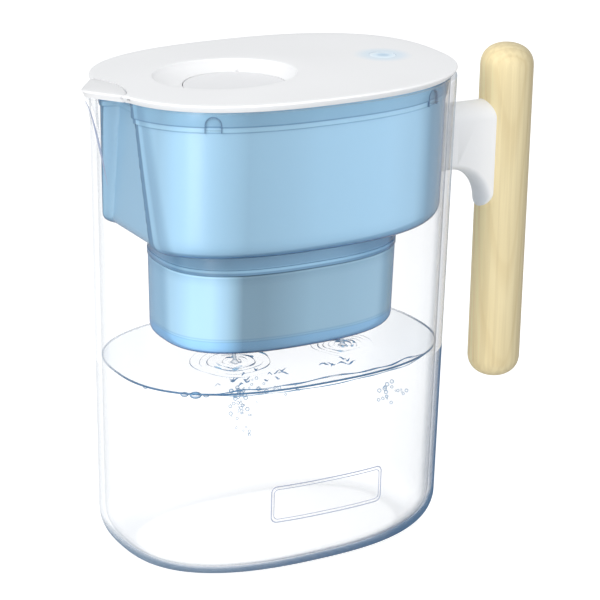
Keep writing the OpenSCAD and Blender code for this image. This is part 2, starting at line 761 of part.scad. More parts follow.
module cover_gasket() {
    color("darkslategray") translate([button_x, 0, case_z + hatch_t]) difference() {
        cylinder(r = hatch_r, h = hatch_seal);
        translate([0, 0, -past]) cylinder(r = cell_r + 0.6, h = hatch_seal + 2 * past);
    }
}

pitcher_jug();
handle_bracket();
handle_grip();
grip_inserts();
grip_screws();
reservoir_tank();
cartridge_housing();
cartridge_cap();
cartridge_gasket();
inlet_screen();
carbon_block();
outlet_pad();
lid_shell();
lid_collar();
indicator_case();
circuit_board();
indicator_led();
tact_switch();
battery_contact();
coin_cell();
battery_cover();
cover_gasket();
refill_flap();
spout_cover();
indicator_button();
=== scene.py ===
import math
import random

import bpy
import numpy as np
from mathutils import Matrix, Vector


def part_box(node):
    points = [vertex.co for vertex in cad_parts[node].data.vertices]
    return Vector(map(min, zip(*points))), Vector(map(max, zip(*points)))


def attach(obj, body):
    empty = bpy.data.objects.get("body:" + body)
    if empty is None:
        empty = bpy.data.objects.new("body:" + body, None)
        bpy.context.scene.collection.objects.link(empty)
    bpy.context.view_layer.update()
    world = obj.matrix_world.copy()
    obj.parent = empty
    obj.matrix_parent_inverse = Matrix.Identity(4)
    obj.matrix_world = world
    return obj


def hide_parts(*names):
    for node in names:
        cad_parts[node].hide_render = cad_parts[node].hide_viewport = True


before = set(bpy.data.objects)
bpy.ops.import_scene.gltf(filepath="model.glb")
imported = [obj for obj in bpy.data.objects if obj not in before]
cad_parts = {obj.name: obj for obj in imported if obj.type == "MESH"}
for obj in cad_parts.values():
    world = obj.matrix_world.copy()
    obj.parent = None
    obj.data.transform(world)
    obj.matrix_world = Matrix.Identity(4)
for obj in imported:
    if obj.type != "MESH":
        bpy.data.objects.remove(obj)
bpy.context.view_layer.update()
N = 240      # points round the rings of jug, lid, reservoir and cartridge

# ---- sizes of the pitcher, in millimetres; most are the CAD's ----
A_FOOT, A_TOP, B_FOOT, B_TOP = 95.7, 100.0, 66.1, 69.7      # half length and half width of the oval
JUG_H, JUG_WALL, FLOOR, BASE_R = 260.2, 3.2, 4.0, 20.0
BEAK_OUT, BEAK_DROP, BEAK_W, BEAK_W_LOW = 12.4, 49.5, 22.0, 14.0
PLAN_N, CART_N = 2.47, 2.6
TANK_Z, LID_Z, LID_TOP, SKIN_Z = 180.0, 260.8, 265.0, 262.6
BAND_IN, TANK_IN, RIM_IN, TANK_R = 3.9, 5.4, 7.8, 9.0
BAND_Z, FOOT_Z, STEP = 252.5, 249.7, 0.4
CHANNEL_LOW, CHANNEL_TOP, CHANNEL_TURN, CHANNEL_X = 25.0, 14.0, 4.0, -84.0
LUG_X, LUG_W, NOTCH_W, NOTCH_H = 67.0, 7.4, 8.0, 8.3
COLLAR_Z, CART_Z, CART_A, CART_B, CART_TAPER = 166.5, 121.5, 69.0, 43.9, 1.4
CART_WALL, NECK_IN, CAP_Z = 2.2, 2.6, 182.0
SKIRT_IN, SKIRT_T, SKIRT_Z, SKIRT_WIDE = 8.2, 1.8, 250.8, 3.5
FLAP_X, FLAP_R, FLAP_T, FLAP_Z, SEAT_Z = -23.5, 28.0, 2.4, 258.0, 253.9
DISH_X, DISH_A, DISH_B, DISH_WALL = -30.2, 39.4, 31.3, 2.6
PIVOT_X, PIVOT_Z, PIVOT_R = -9.0, 256.8, 0.95
PIVOT_Y = math.sqrt(FLAP_R ** 2 - 14.5 ** 2)
SEAM_X, SEAM_A, SEAM_B, SEAM_GAP = -100.0, 8.9, 19.8, 0.45
COVER_PIN_X, COVER_PIN_Z, COVER_PIN_R = -96.5, 263.6, 0.75
COVER_PIN_Y = 22.0 * math.sqrt(1 - (3.5 / 8.3) ** 2)
BUTTON_X, BUTTON_R = 66.3, 7.2
WALL_X = A_FOOT + (A_TOP - A_FOOT) * 218.15 / LID_TOP      # the jug's wall at the rail
GRIP_R, GRIP_L, GRIP_TOP, DOME = 15.0, 196.5, 263.5, 13.0
GRIP_X = WALL_X + 48.8
SEAT_X = GRIP_X - GRIP_R
BRACKET_TOP, BRACKET_R, BRACKET_H, ARCH_R, ARCH_FLARE = 232.9, 9.5, 39.5, 23.0, 4.67
BRACKET_X = A_FOOT + (A_TOP - A_FOOT) * BRACKET_TOP / LID_TOP + 0.075
TONGUE = 1.2      # thickness of the bracket's lower end, under the arch
ARCH_X = SEAT_X - TONGUE - ARCH_R
ARCH_Z = BRACKET_TOP - BRACKET_H - math.sqrt(ARCH_R ** 2 - (ARCH_X - BRACKET_X) ** 2)
RAIL_Z, RAIL_TOP = 202.1, 226.1
SCREW_ZS = (RAIL_Z + 5.5, RAIL_Z + 25)
WATER_Z = 108.0
DROPS = ((-29.5, -13.6), (36.0, -16.7))      # where the two streams meet the water


# ---- shared shape functions ----
def mix(a, b, t):
    return a + (b - a) * t


def smooth(t):
    t = np.clip(t, 0, 1)
    return t * t * (3 - 2 * t)


def spow(v, p):
    return np.sign(v) * np.abs(v) ** p


def angles():
    t = 2 * math.pi * np.arange(N) / N
    return t + 0.5 * np.sin(t)


def oval(t, a, b, n):
    c, s = np.cos(t), np.sin(t)
    c[np.abs(c) < 1e-12] = 0
    s[np.abs(s) < 1e-12] = 0
    return a * spow(c, 2 / n), b * spow(s, 2 / n)


def half_a(z):
    return mix(A_FOOT, A_TOP, z / LID_TOP)


def half_b(z):
    return mix(B_FOOT, B_TOP, z / LID_TOP)


def ring(x, y, z):
    return np.stack([x, y, np.full_like(x, z)], axis=1)


def circle(x, y, r, z, n):
    """Ring of n points round x, y."""
    t = 2 * math.pi * np.arange(n) / n
    return ring(x + r * np.cos(t), y + r * np.sin(t), z)


def at_height(r, z):
    """The same ring at another height."""
    return ring(r[:, 0], r[:, 1], z)


def beak_bump(y, w):
    """Share of the beak's reach: nearly straight flanks meeting in a small round tip."""
    nose = 0.14
    u = (np.sqrt((y / w) ** 2 + nose ** 2) - nose) / (math.sqrt(1 + nose ** 2) - nose)
    return np.maximum(0, 1 - u) ** 1.25


def jug_ring(z, inset):
    x, y = oval(angles(), half_a(z) - inset, half_b(z) - inset, PLAN_N)
    t = max(0, 1 - (JUG_H - z) / BEAK_DROP)
    reach = BEAK_OUT * (0.83 * t ** 1.15 + 0.17 * t ** 10)
    w = mix(BEAK_W_LOW, BEAK_W, t) - 0.6 * inset
    return ring(np.where(x < 0, x - reach * beak_bump(y, w), x), y, z)


def lid_ring(z, inset):
    x, y = oval(angles(), A_TOP - inset, B_TOP - inset, PLAN_N)
    return ring(np.where(x < 0, x - BEAK_OUT * beak_bump(y, BEAK_W - 0.6 * inset), x), y, z)


def tank_ring(z, inset, wide=0.0):
    """The jug's oval, set back behind the beak where the pour channel runs."""
    x, y = oval(angles(), half_a(z) - inset, half_b(z) - inset, PLAN_N)
    inner = max(0, inset - TANK_IN)
    w = mix(CHANNEL_LOW, CHANNEL_TOP, (z - TANK_Z) / (LID_Z - TANK_Z)) + inner + wide + CHANNEL_TURN
    back = CHANNEL_X + inner
    s = np.where(x < back, smooth((w - np.abs(y)) / CHANNEL_TURN), 0)
    return ring(mix(x, back, s), y, z)


def cart_ring(z, inset):
    a = CART_A - CART_TAPER * (COLLAR_Z - min(z, COLLAR_Z)) / (COLLAR_Z - CART_Z)
    x, y = oval(angles(), a - inset, CART_B - inset, CART_N)
    return ring(x, y, z)


def dish_ring(share, z, grow=0.0):
    """From the flap's round seat (share 0) to the dish's oval rim (share 1)."""
    t = angles()
    r = FLAP_R + 0.5 + grow
    return ring(mix(FLAP_X + r * np.cos(t), DISH_X + (DISH_A + grow) * np.cos(t), share),
                mix(r * np.sin(t), (DISH_B + grow) * np.sin(t), share), z)


def quarter(r, steps):
    """Insets and heights along a quarter round, from the floor up."""
    return [(r * (1 - math.sin(a)), r * (1 - math.cos(a))) for a in np.linspace(0, math.pi / 2, steps + 1)]


# ---- mesh helpers ----
def finish_mesh(o, sharp=35.0):
    me = o.data
    me.polygons.foreach_set("use_smooth", [True] * len(me.polygons))
    me.set_sharp_from_angle(angle=math.radians(sharp))
    return o


def new_object(name, data):
    o = bpy.data.objects.new(name, data)
    bpy.context.scene.collection.objects.link(o)
    return o


def mesh_object(name, verts, faces, sharp=35.0):
    me = bpy.data.meshes.new(name)
    me.from_pydata([tuple(float(c) * 0.001 for c in v) for v in verts], [], faces)
    me.validate()
    me.update()
    return finish_mesh(new_object(name, me), sharp)


def loft(name, rings, wrap=False, ends=(True, True), sharp=35.0):
    """Skin through rings of equal count. wrap joins the last to the first, ends close with a fan."""
    n = len(rings[0])
    verts = [tuple(p) for r in rings for p in r]
    faces = []
    count = len(rings)
    for k in range(count if wrap else count - 1):
        a, b = k * n, ((k + 1) % count) * n
        for i in range(n):
            j = (i + 1) % n
            faces.append((a + i, a + j, b + j, b + i))
    if not wrap:
        for on, k in ((ends[0], 0), (ends[1], count - 1)):
            if on:
                verts.append(tuple(np.mean(rings[k], axis=0)))
                c = len(verts) - 1
                for i in range(n):
                    j = (i + 1) % n
                    faces.append((k * n + j, k * n + i, c) if k == 0 else (k * n + i, k * n + j, c))
    return outward(mesh_object(name, verts, faces, sharp))


def outward(o):
    """Turns the faces so that the solid's volume is positive."""
    me = o.data
    vol = 0.0
    v = [p.co for p in me.vertices]
    for p in me.polygons:
        i = p.vertices
        for k in range(1, len(i) - 1):
            vol += v[i[0]].dot(v[i[k]].cross(v[i[k + 1]]))
    if vol < 0:
        me.flip_normals()
    return o


def lathe(name, profile, x, y, n=96, sharp=35.0):
    """Solid of revolution from (radius, height) pairs round a vertical axis at x, y."""
    return loft(name, [circle(x, y, r, h, n) for r, h in profile], sharp=sharp)


def place(o, matrix):
    o.data.transform(matrix)
    return o


def mm(x, y, z):
    return Vector((x, y, z)) * 0.001


def apply_modifiers(o):
    bpy.context.view_layer.update()
    me = bpy.data.meshes.new_from_object(o.evaluated_get(bpy.context.evaluated_depsgraph_get()))
    o.modifiers.clear()
    o.data = me


def boolean(o, cutters):
    """Cuts each cutter away from o, and removes it."""
    for c in cutters:
        m = o.modifiers.new("cut", "BOOLEAN")
        m.operation, m.object, m.solver = "DIFFERENCE", c, "EXACT"
    apply_modifiers(o)
    for c in cutters:
        bpy.data.objects.remove(c)
    return finish_mesh(o)


def join(name, parts):
    """One object from several, without boolean."""
    verts, faces = [], []
    for p in parts:
        base = len(verts)
        verts += [tuple(v.co * 1000) for v in p.data.vertices]
        faces += [tuple(base + i for i in f.vertices) for f in p.data.polygons]
        bpy.data.objects.remove(p)
    return mesh_object(name, verts, faces)


def box_mesh(name, lo, hi, bevel=0.4):
    x0, y0, z0 = lo
    x1, y1, z1 = hi
    v = [(x, y, z) for z in (z0, z1) for y in (y0, y1) for x in (x0, x1)]
    f = [(0, 2, 3, 1), (4, 5, 7, 6), (0, 1, 5, 4), (2, 6, 7, 3), (0, 4, 6, 2), (1, 3, 7, 5)]
    o = mesh_object(name, v, f)
    if bevel:
        m = o.modifiers.new("edge", "BEVEL")
        m.width, m.segments = bevel * 0.001, 3
        apply_modifiers(o)
        finish_mesh(o)
    return o


def arch_block(name, w, y0, y1, low, top):
    """Block with an arched top, w wide in X, from y0 to y1."""
    r = w / 2
    outline = [(-r, low), (r, low)] + [(r * math.cos(a), top - r + r * math.sin(a))
                                       for a in np.linspace(0, math.pi, 15)]
    n = len(outline)
    verts = [(x, y0, z) for x, z in outline] + [(x, y1, z) for x, z in outline]
    faces = [tuple(range(n)), tuple(range(2 * n - 1, n - 1, -1))]
    faces += [(i, i + n, (i + 1) % n + n, (i + 1) % n) for i in range(n)]
    return outward(mesh_object(name, verts, faces))


def at_lugs(name, w, y0, y1, low, top):
    """The same arched block at each of the four lugs, y0 to y1 along the wall's normal from its outer face."""
    share = (LUG_X / half_a(FOOT_Z)) ** PLAN_N
    y = half_b(FOOT_Z) * (1 - share) ** (1 / PLAN_N)
    turn = math.atan2(share / LUG_X, (1 - share) / y)
    stand = Matrix.Translation(mm(LUG_X, y, 0)) @ Matrix.Rotation(-turn, 4, "Z")
    sides = [Matrix.Diagonal((sx, sy, 1, 1)) for sx in (-1, 1) for sy in (-1, 1)]
    return join(name, [outward(place(arch_block(name, w, y0, y1, low, top), side @ stand)) for side in sides])


def rod(name, a, b, r, n=24, bevel=0.0):
    """Round bar from point a to point b."""
    a, b = Vector(a), Vector(b)
    d = b - a
    length = d.length
    prof = [(r, 0), (r, length)]
    if bevel:
        prof = [(r - bevel, 0), (r, bevel), (r, length - bevel), (r - bevel, length)]
    o = lathe(name, prof, 0, 0, n)
    return place(o, Matrix.Translation(a * 0.001) @ d.to_track_quat("Z", "Y").to_matrix().to_4x4())


def cross_rod(name, x, z, y0, y1, r, n=24, bevel=0.0):
    """Rod along Y."""
    return rod(name, (x, y0, z), (x, y1, z), r, n, bevel)


# ---- materials ----
class Mat:
    """A material on one Principled shader. Its calls take sockets and return the added node's socket."""

    def __init__(self, name):
        self.m = bpy.data.materials.new(name)
        self.m.use_nodes = True
        self.t = self.m.node_tree
        self.b = self.t.nodes["Principled BSDF"]

    def node(self, kind, **values):
        """New node with its inputs, named with _ for a space, or its own settings."""
        n = self.t.nodes.new(kind)
        for k, v in values.items():
            if k.replace("_", " ") in n.inputs:
                n.inputs[k.replace("_", " ")].default_value = v
            else:
                setattr(n, k, v)
        return n

    def put(self, socket, n, into):
        self.t.links.new(socket, n.inputs[into])

    def set(self, **values):
        """Gives the shader's inputs a value or a socket each."""
        for k, v in values.items():
            k = k.replace("_", " ")
            if isinstance(v, bpy.types.NodeSocket):
                self.put(v, self.b, k)
            else:
                self.b.inputs[k].default_value = v

    def base(self):
        """The socket that feeds the base colour so far."""
        return self.b.inputs["Base Color"].links[0].from_socket

    def coords(self):
        return self.node("ShaderNodeTexCoord").outputs["Object"]

    def axes(self):
        s = self.node("ShaderNodeSeparateXYZ")
        self.put(self.coords(), s, "Vector")
        return s.outputs

    def facing(self):
        return self.node("ShaderNodeLayerWeight", Blend=0.5).outputs["Facing"]

    def noise(self, scale, detail=2.0, stretch=None, out="Fac"):
        c = self.coords()
        n = self.node("ShaderNodeTexNoise", Scale=scale, Detail=detail)
        if stretch:
            m = self.node("ShaderNodeMapping", Scale=stretch)
            self.put(c, m, "Vector")
            c = m.outputs["Vector"]
        self.put(c, n, "Vector")
        return n.outputs[out]

    def distance(self, *point):
        """Distance from a point of the part, in metres."""
        d = self.node("ShaderNodeVectorMath", operation="DISTANCE")
        d.inputs[1].default_value = point
        self.put(self.coords(), d, 0)
        return d.outputs["Value"]

    def math(self, operation, *sockets):
        n = self.node("ShaderNodeMath", operation=operation)
        for k, socket in enumerate(sockets):
            self.put(socket, n, k)
        return n.outputs["Value"]

    def span(self, socket, lo, hi, a=0.0, b=1.0):
        """Runs from a to b while the socket runs from lo to hi."""
        m = self.node("ShaderNodeMapRange", From_Min=lo, From_Max=hi, To_Min=a, To_Max=b)
        self.put(socket, m, "Value")
        return m.outputs["Result"]

    def ramp(self, socket, stops, interpolation="EASE"):
        """Colour ramp; a stop is (position, colour) or (position, grey)."""
        r = self.node("ShaderNodeValToRGB")
        r.color_ramp.interpolation = interpolation
        e = r.color_ramp.elements
        while len(e) < len(stops):
            e.new(0.5)
        for item, (pos, _) in zip(e, stops):      # all places before any colour: the elements sort themselves
            item.position = pos
        for item, (_, col) in zip(e, stops):
            item.color = (col, col, col, 1) if np.isscalar(col) else (*col, 1)
        self.put(socket, r, "Fac")
        return r.outputs["Color"]

    def blend(self, share, a, b, mode="MIX"):
        """Mix of two colours; share, a and b are a value or a socket each."""
        n = self.node("ShaderNodeMix", data_type="RGBA", blend_type=mode)
        for value, k in ((share, 0), (a, 6), (b, 7)):
            if isinstance(value, bpy.types.NodeSocket):
                self.put(value, n, k)
            else:
                n.inputs[k].default_value = (*value, 1) if k else value
        return n.outputs[2]

    def times(self, a, b, share=1.0):
        return self.blend(share, a, b, "MULTIPLY")

    def bump(self, socket, strength, distance):
        n = self.node("ShaderNodeBump", Strength=strength, Distance=distance)
        self.put(socket, n, "Height")
        self.set(Normal=n.outputs["Normal"])

    def surface(self, grain, low, high, strength, distance):
        """Roughness between low and high, and a bump, both from one noise."""
        self.set(Roughness=self.span(grain, 0.3, 0.7, low, high))
        self.bump(grain, strength, distance)


def plastic(name, colour, rough, shade=0.97, bump=0.02, grain=900.0, **more):
    """Moulded plastic: faint flow shading, a fine grain and uneven gloss."""
    m = Mat(name)
    dark = tuple(c * shade for c in colour)
    m.set(Base_Color=m.ramp(m.noise(9.0), [(0.35, dark), (0.65, colour)]), **more)
    m.surface(m.noise(grain), rough * 0.88, rough * 1.12, bump, 0.0002)
    return m


def paint(o, mat, body=None):
    o.data.materials.clear()
    o.data.materials.append(mat.m)
    if body:
        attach(o, body)
    return o


def clear_material():
    """Clear plastic: nearly nothing face on, greyer where the wall turns away."""
    m = Mat("clear_plastic_moulded")
    w, x = m.facing(), m.axes()["X"]
    # the pale stop at facing 0.83, between two grey ones, is a painted highlight line in the thick wall
    colour = m.ramp(w, [(0.0, (0.90, 0.94, 0.98)), (0.58, (0.60, 0.63, 0.67)), (0.76, (0.34, 0.33, 0.36)),
                        (0.83, (0.86, 0.86, 0.88)), (0.89, (0.33, 0.31, 0.33)), (1.0, (0.20, 0.20, 0.24))])
    alpha = m.ramp(w, [(0.0, 0.0), (0.42, 0.02), (0.58, 0.10), (0.74, 0.34), (0.86, 0.6), (1.0, 0.85)])
    # both ends of the oval, where the wall is seen edge on, get painted shade: bluer and less clear
    edge = m.ramp(m.span(x, -0.105, 0.105), [(0.0, 0.0), (0.024, 0.045), (0.062, 0.04), (0.105, 0.0), (0.89, 0.0),
                                             (0.935, 0.07), (0.975, 0.13)], "LINEAR")
    # painted light: the alpha drops to a third toward the left end, so the walls facing the key light look whiter
    # than those on the right
    left_lit_alpha = m.math("MULTIPLY", alpha, m.span(x, -0.09, 0.05, 0.3, 1.0))
    m.set(Base_Color=m.blend(m.span(edge, 0.0, 0.04), colour, (0.22, 0.33, 0.45)),
          Alpha=m.math("MAXIMUM", left_lit_alpha, edge))
    m.surface(m.noise(6.0), 0.05, 0.09, 0.012, 0.0004)
    return m


def blue_material(name, low, high, base, light, across, alpha0, alpha1, foot):
    """Translucent blue plastic: darker where the wall turns away, painted shade at its foot and along its steps.

    light gives (height, colour) and across (x, grey), in millimetres, to multiply the base colour by: painted
    highlights and painted shade by height and along x.
    """
    m = Mat(name)
    w, s = m.facing(), m.axes()
    turn = m.math("ADD", w, m.span(s["Z"], foot * 0.001, (foot + 9.0) * 0.001, 0.24, 0.0))
    body = m.ramp(turn, [(0.0, base)] + [(pos, tuple(b * k for b, k in zip(base, share))) for pos, share in (
        (0.42, (1.0, 1.0, 1.0)), (0.58, (0.62, 0.70, 0.76)), (0.78, (0.50, 0.60, 0.70)), (0.9, (0.22, 0.33, 0.48)),
        (1.0, (0.16, 0.26, 0.40)))])
    painted_light_by_z = m.ramp(m.span(s["Z"], low * 0.001, high * 0.001),
                  [((z - low) / (high - low), colour) for z, colour in light], "LINEAR")
    # painted light along the pitcher: bands of painted highlight and painted shade by x
    along = m.ramp(m.span(s["X"], -0.1, 0.1), [(0.5 + x / 200, k) for x, k in across], "LINEAR")
    m.set(Base_Color=m.times(m.times(body, painted_light_by_z), along), Alpha=m.ramp(w, [(0.0, alpha0), (1.0, alpha1)]))
    m.surface(m.noise(7.0), 0.20, 0.28, 0.03, 0.0006)
    return m


def shoulder_line(m):
    """Adds a dark double line of painted shade where the wall steps back to the pour channel."""
    s = m.axes()
    off = m.math("SUBTRACT", m.math("ABSOLUTE", s["Y"]), m.span(s["Z"], 0.180, 0.2608, 0.0290, 0.0180))
    line = m.ramp(m.span(off, -0.001, 0.015), [(0.0, 0.0), (0.03, 0.9), (0.19, 0.9), (0.24, 0.05), (0.32, 0.10),
                                               (0.42, 0.42), (0.52, 0.38), (0.80, 0.0)])
    front = m.span(s["X"], -0.066, -0.074)
    dark = m.blend(m.math("MULTIPLY", line, front), m.base(), (0.115, 0.225, 0.36))
    # painted light: the recessed wall between the two steps is painted paler
    recess_painted_light = m.math("MULTIPLY", m.span(off, -0.0005, -0.004, 0.0, 0.42), front)
    m.set(Base_Color=m.blend(recess_painted_light, dark, (0.50, 0.76, 0.95)))


CLEAR = clear_material()
# painted light by height: pale lines as painted highlights, dark lines as the painted shade of the steps, the
# collar darker as a painted shadow under the tank, the band under the lid greyer; along x, bands of painted
# highlight and painted shade
BLUE = blue_material(
    "blue_plastic_moulded", 160.0, 262.0, (0.385, 0.635, 0.84),
    ((166.4, (0.50, 0.58, 0.66)), (167.6, (0.52, 0.60, 0.68)), (168.2, (1.0, 1.05, 1.05)),
     (169.2, (0.84, 0.9, 0.94)), (170.2, (0.60, 0.67, 0.73)), (176.0, (0.62, 0.68, 0.74)),
     (177.2, (0.95, 1.0, 1.0)), (178.2, (0.6, 0.68, 0.75)), (180.0, (0.42, 0.52, 0.64)),
     (182.2, (0.50, 0.60, 0.70)), (184.4, (0.86, 0.89, 0.92)), (192.0, 1.0), (248.9, 1.0),
     (249.6, (0.50, 0.60, 0.70)), (250.0, (1.03, 1.03, 1.0)), (252.1, (0.98, 0.99, 1.0)),
     (252.6, (0.22, 0.33, 0.46)), (253.2, (0.72, 0.78, 0.82)), (262.0, (0.70, 0.77, 0.80))),
    ((-94, 1.05), (-89, 0.92), (-86, 0.84), (-83, 0.92), (-80, 1.0), (-74, 1.06), (-63, 0.88), (-47, 0.70),
     (-25, 0.82), (-8, 0.94), (15, 1.03), (35, 1.12), (53, 1.12), (62, 1.0), (66, 0.88), (73, 0.85)),
    0.84, 0.97, 179.0)
shoulder_line(BLUE)
# painted light by height: a darker, bluer bottom band, pale lines as painted highlights and dark lines as painted
# shade at its steps and the collar; along x, a painted highlight band at the front left corner with painted shade
# beyond it
CART = blue_material(
    "cartridge_plastic_moulded", 120.0, 168.0, (0.285, 0.46, 0.595),
    ((121.4, (0.42, 0.52, 0.72)), (123.4, (0.40, 0.50, 0.70)), (124.0, (0.72, 0.86, 1.02)),
     (129.0, (0.76, 0.92, 1.08)), (129.5, (0.62, 0.74, 0.86)), (130.0, (0.95, 1.03, 1.08)),
     (130.6, (0.74, 0.82, 0.9)), (131.4, 1.0), (160.0, 1.0), (164.6, (0.88, 0.9, 0.92)),
     (165.4, (1.1, 1.1, 1.08)), (166.0, (0.5, 0.56, 0.62)), (168.0, (0.9, 0.92, 0.95))),
    ((-68, 1.45), (-62, 1.7), (-54, 1.6), (-47, 1.25), (-39, 0.60), (-28, 0.62), (0, 0.95), (20, 1.05), (50, 1.3),
     (62, 1.2)),
    0.9, 0.98, 119.0)
WHITE = plastic("white_plastic_satin", (0.93, 0.93, 0.935), 0.36)


def lid_material():
    """White lid, with the button's glow spilling over the plastic round it."""
    m = plastic("lid_plastic_satin", (0.87, 0.87, 0.875), 0.42)
    glow = m.span(m.distance(BUTTON_X * 0.001, 0, LID_TOP * 0.001), 0.0175, 0.0075)
    m.set(Base_Color=m.blend(m.ramp(glow, [(0.0, 0.0), (1.0, 1.0)]), m.base(), (0.70, 0.80, 0.88)))
    return m


LID = lid_material()


def wood_material():
    m = Mat("pale_wood_oiled")
    # growth rings round a pith behind the grip, tilted a little so that they run out as long arches
    pith = Vector((GRIP_X + 17.0, 30.0, 120.0)) * 0.001
    turn = Matrix.Rotation(math.radians(3.4), 3, "X") @ Matrix.Rotation(math.radians(-2.0), 3, "Y")
    tilted = m.node("ShaderNodeMapping", Location=-(turn @ pith), Rotation=turn.to_euler())
    m.put(m.coords(), tilted, "Vector")
    shift = m.node("ShaderNodeVectorMath", operation="SCALE", Scale=0.009)
    m.put(m.noise(34.0, stretch=(1.0, 1.0, 0.10), out="Color"), shift, 0)
    warped = m.node("ShaderNodeVectorMath", operation="ADD")
    m.put(tilted.outputs["Vector"], warped, 0)
    m.put(shift.outputs["Vector"], warped, 1)
    wave = m.node("ShaderNodeTexWave", wave_type="RINGS", rings_direction="Z", wave_profile="SAW", Scale=74.0)
    m.put(warped.outputs["Vector"], wave, "Vector")
    rings = m.ramp(wave.outputs["Fac"], [(0.0, (0.715, 0.605, 0.36)), (0.55, (0.735, 0.628, 0.38)),
                                         (0.9, (0.685, 0.57, 0.33)), (1.0, (0.715, 0.605, 0.36))])
    fibre = m.noise(420.0, 4.0, (1.0, 1.0, 0.025))
    wood = m.times(rings, m.ramp(fibre, [(0.38, (0.90, 0.885, 0.86)), (0.56, 1.0)]), 0.7)
    # painted light: the grip is painted paler on the pitcher's side and darker on its far side
    side_painted_light = m.ramp(m.span(m.axes()["X"], (GRIP_X - GRIP_R) * 0.001, (GRIP_X + GRIP_R) * 0.001),
                 [(0.0, (1.45, 1.40, 1.32)), (0.25, (1.18, 1.16, 1.13)), (0.5, 1.0), (0.75, 0.82), (1.0, 0.64)],
                 "LINEAR")
    m.set(Base_Color=m.times(wood, side_painted_light))
    m.surface(fibre, 0.56, 0.44, 0.08, 0.0003)
    return m


WOOD = wood_material()
BRASS = plastic("brass_turned", (0.72, 0.52, 0.24), 0.3, 0.85, Metallic=1.0)
STEEL = plastic("steel_plain", (0.62, 0.62, 0.64), 0.32, 0.9, Metallic=1.0)
RUBBER = plastic("seal_rubber_matt", (0.62, 0.66, 0.7), 0.7, 0.9, 0.1)
FELT = plastic("filter_felt_fibres", (0.82, 0.85, 0.88), 0.95, 0.85, 0.6, 1400.0)
MEDIA = plastic("filter_media_porous", (0.16, 0.18, 0.2), 0.85, 0.6, 0.9, 700.0)
BOARD = plastic("board_green_mask", (0.03, 0.16, 0.07), 0.4, 0.8)
SWITCH = plastic("switch_plastic_black", (0.03, 0.03, 0.032), 0.45, 0.8)
LENS = plastic("led_lens_milky", (0.6, 0.78, 0.9), 0.3, 0.95)

for node, mat in (("cartridge_cap", WHITE), ("cartridge_gasket", RUBBER), ("inlet_screen", FELT),
                  ("carbon_block", MEDIA), ("outlet_pad", FELT), ("indicator_case", WHITE),
                  ("circuit_board", BOARD), ("indicator_led", LENS), ("tact_switch", SWITCH),
                  ("battery_contact", BRASS), ("coin_cell", STEEL), ("battery_cover", WHITE),
                  ("cover_gasket", RUBBER), ("grip_inserts", BRASS), ("grip_screws", STEEL)):
    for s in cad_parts[node].material_slots:
        s.material = mat.m


# ---- jug ----
def jug_mesh():
    """Up the outside, over the rounded lip of radius lip, and down the inside to the floor."""
    lip, beak_z = 0.9, JUG_H - BEAK_DROP
    zs = list(np.linspace(BASE_R, beak_z, 10)[1:]) + list(np.linspace(beak_z, JUG_H - lip, 34)[1:])
    rings = [jug_ring(z, i) for i, z in quarter(BASE_R, 16)] + [jug_ring(z, 0) for z in zs]
    rings += [jug_ring(JUG_H - lip + lip * math.sin(a), lip - lip * math.cos(a))
              for a in np.linspace(0.3, math.pi / 2, 4)]
    rings += [jug_ring(JUG_H - lip + lip * math.sin(a), JUG_WALL - lip + lip * math.cos(a))
              for a in np.linspace(math.pi / 2, 0, 4)]
    rings += [jug_ring(z, JUG_WALL) for z in reversed(zs[:-1])]
    rings += [jug_ring(FLOOR + z, JUG_WALL + i) for i, z in reversed(quarter(BASE_R - JUG_WALL, 14))]
    return loft("jug_body", rings)


jug = jug_mesh()
paint(jug, CLEAR, "jug")
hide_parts("pitcher_jug")
lugs = at_lugs("jug_lugs", LUG_W, -5.1, -2.2, 251.3, 257.7)
paint(lugs, CLEAR, "jug")
rail = join("jug_rail", [box_mesh("rail_a", (WALL_X - 2, -4.8, RAIL_Z), (WALL_X + 3.01, 4.8, RAIL_TOP)),
                         box_mesh("rail_b", (WALL_X + 3, -7.5, RAIL_Z), (WALL_X + 6, 7.5, RAIL_TOP))])
paint(rail, CLEAR, "jug")


def on_wall(x, z):
    """Point of the front wall's outer face."""
    return Vector((x, -half_b(z) * (1 - abs(x / half_a(z)) ** PLAN_N) ** (1 / PLAN_N), z))


def plate_line(name, x0, x1, z0, z1, r, wire):
    """A fine raised line round a rounded rectangle on the jug's front wall."""
    corners = ((x1 - r, z1 - r, 0), (x0 + r, z1 - r, 90), (x0 + r, z0 + r, 180), (x1 - r, z0 + r, 270))
    turns = [(cx, cz, math.radians(a0 + 9 * k)) for cx, cz, a0 in corners for k in range(11)]
    pts = [(cx + r * math.cos(t), cz + r * math.sin(t)) for cx, cz, t in turns]
    dense = []      # the straights need points too, to follow the wall's curve
    for i, p in enumerate(pts):
        q = pts[(i + 1) % len(pts)]
        count = max(1, int(math.hypot(q[0] - p[0], q[1] - p[1]) / 2))
        dense += [on_wall(mix(p[0], q[0], k / count), mix(p[1], q[1], k / count)) for k in range(count)]
    rings = []
    for i, c in enumerate(dense):
        t = (dense[(i + 1) % len(dense)] - dense[i - 1]).normalized()
        out = Vector((c.x * 0.002, -1, 0)).normalized()
        side = t.cross(out).normalized()
        rings.append(np.array([c + side * (wire * math.cos(a)) + out * (wire * 0.8 * math.sin(a))
                               for a in [2 * math.pi * k / 6 for k in range(6)]]))
    return loft(name, rings, wrap=True, sharp=80)


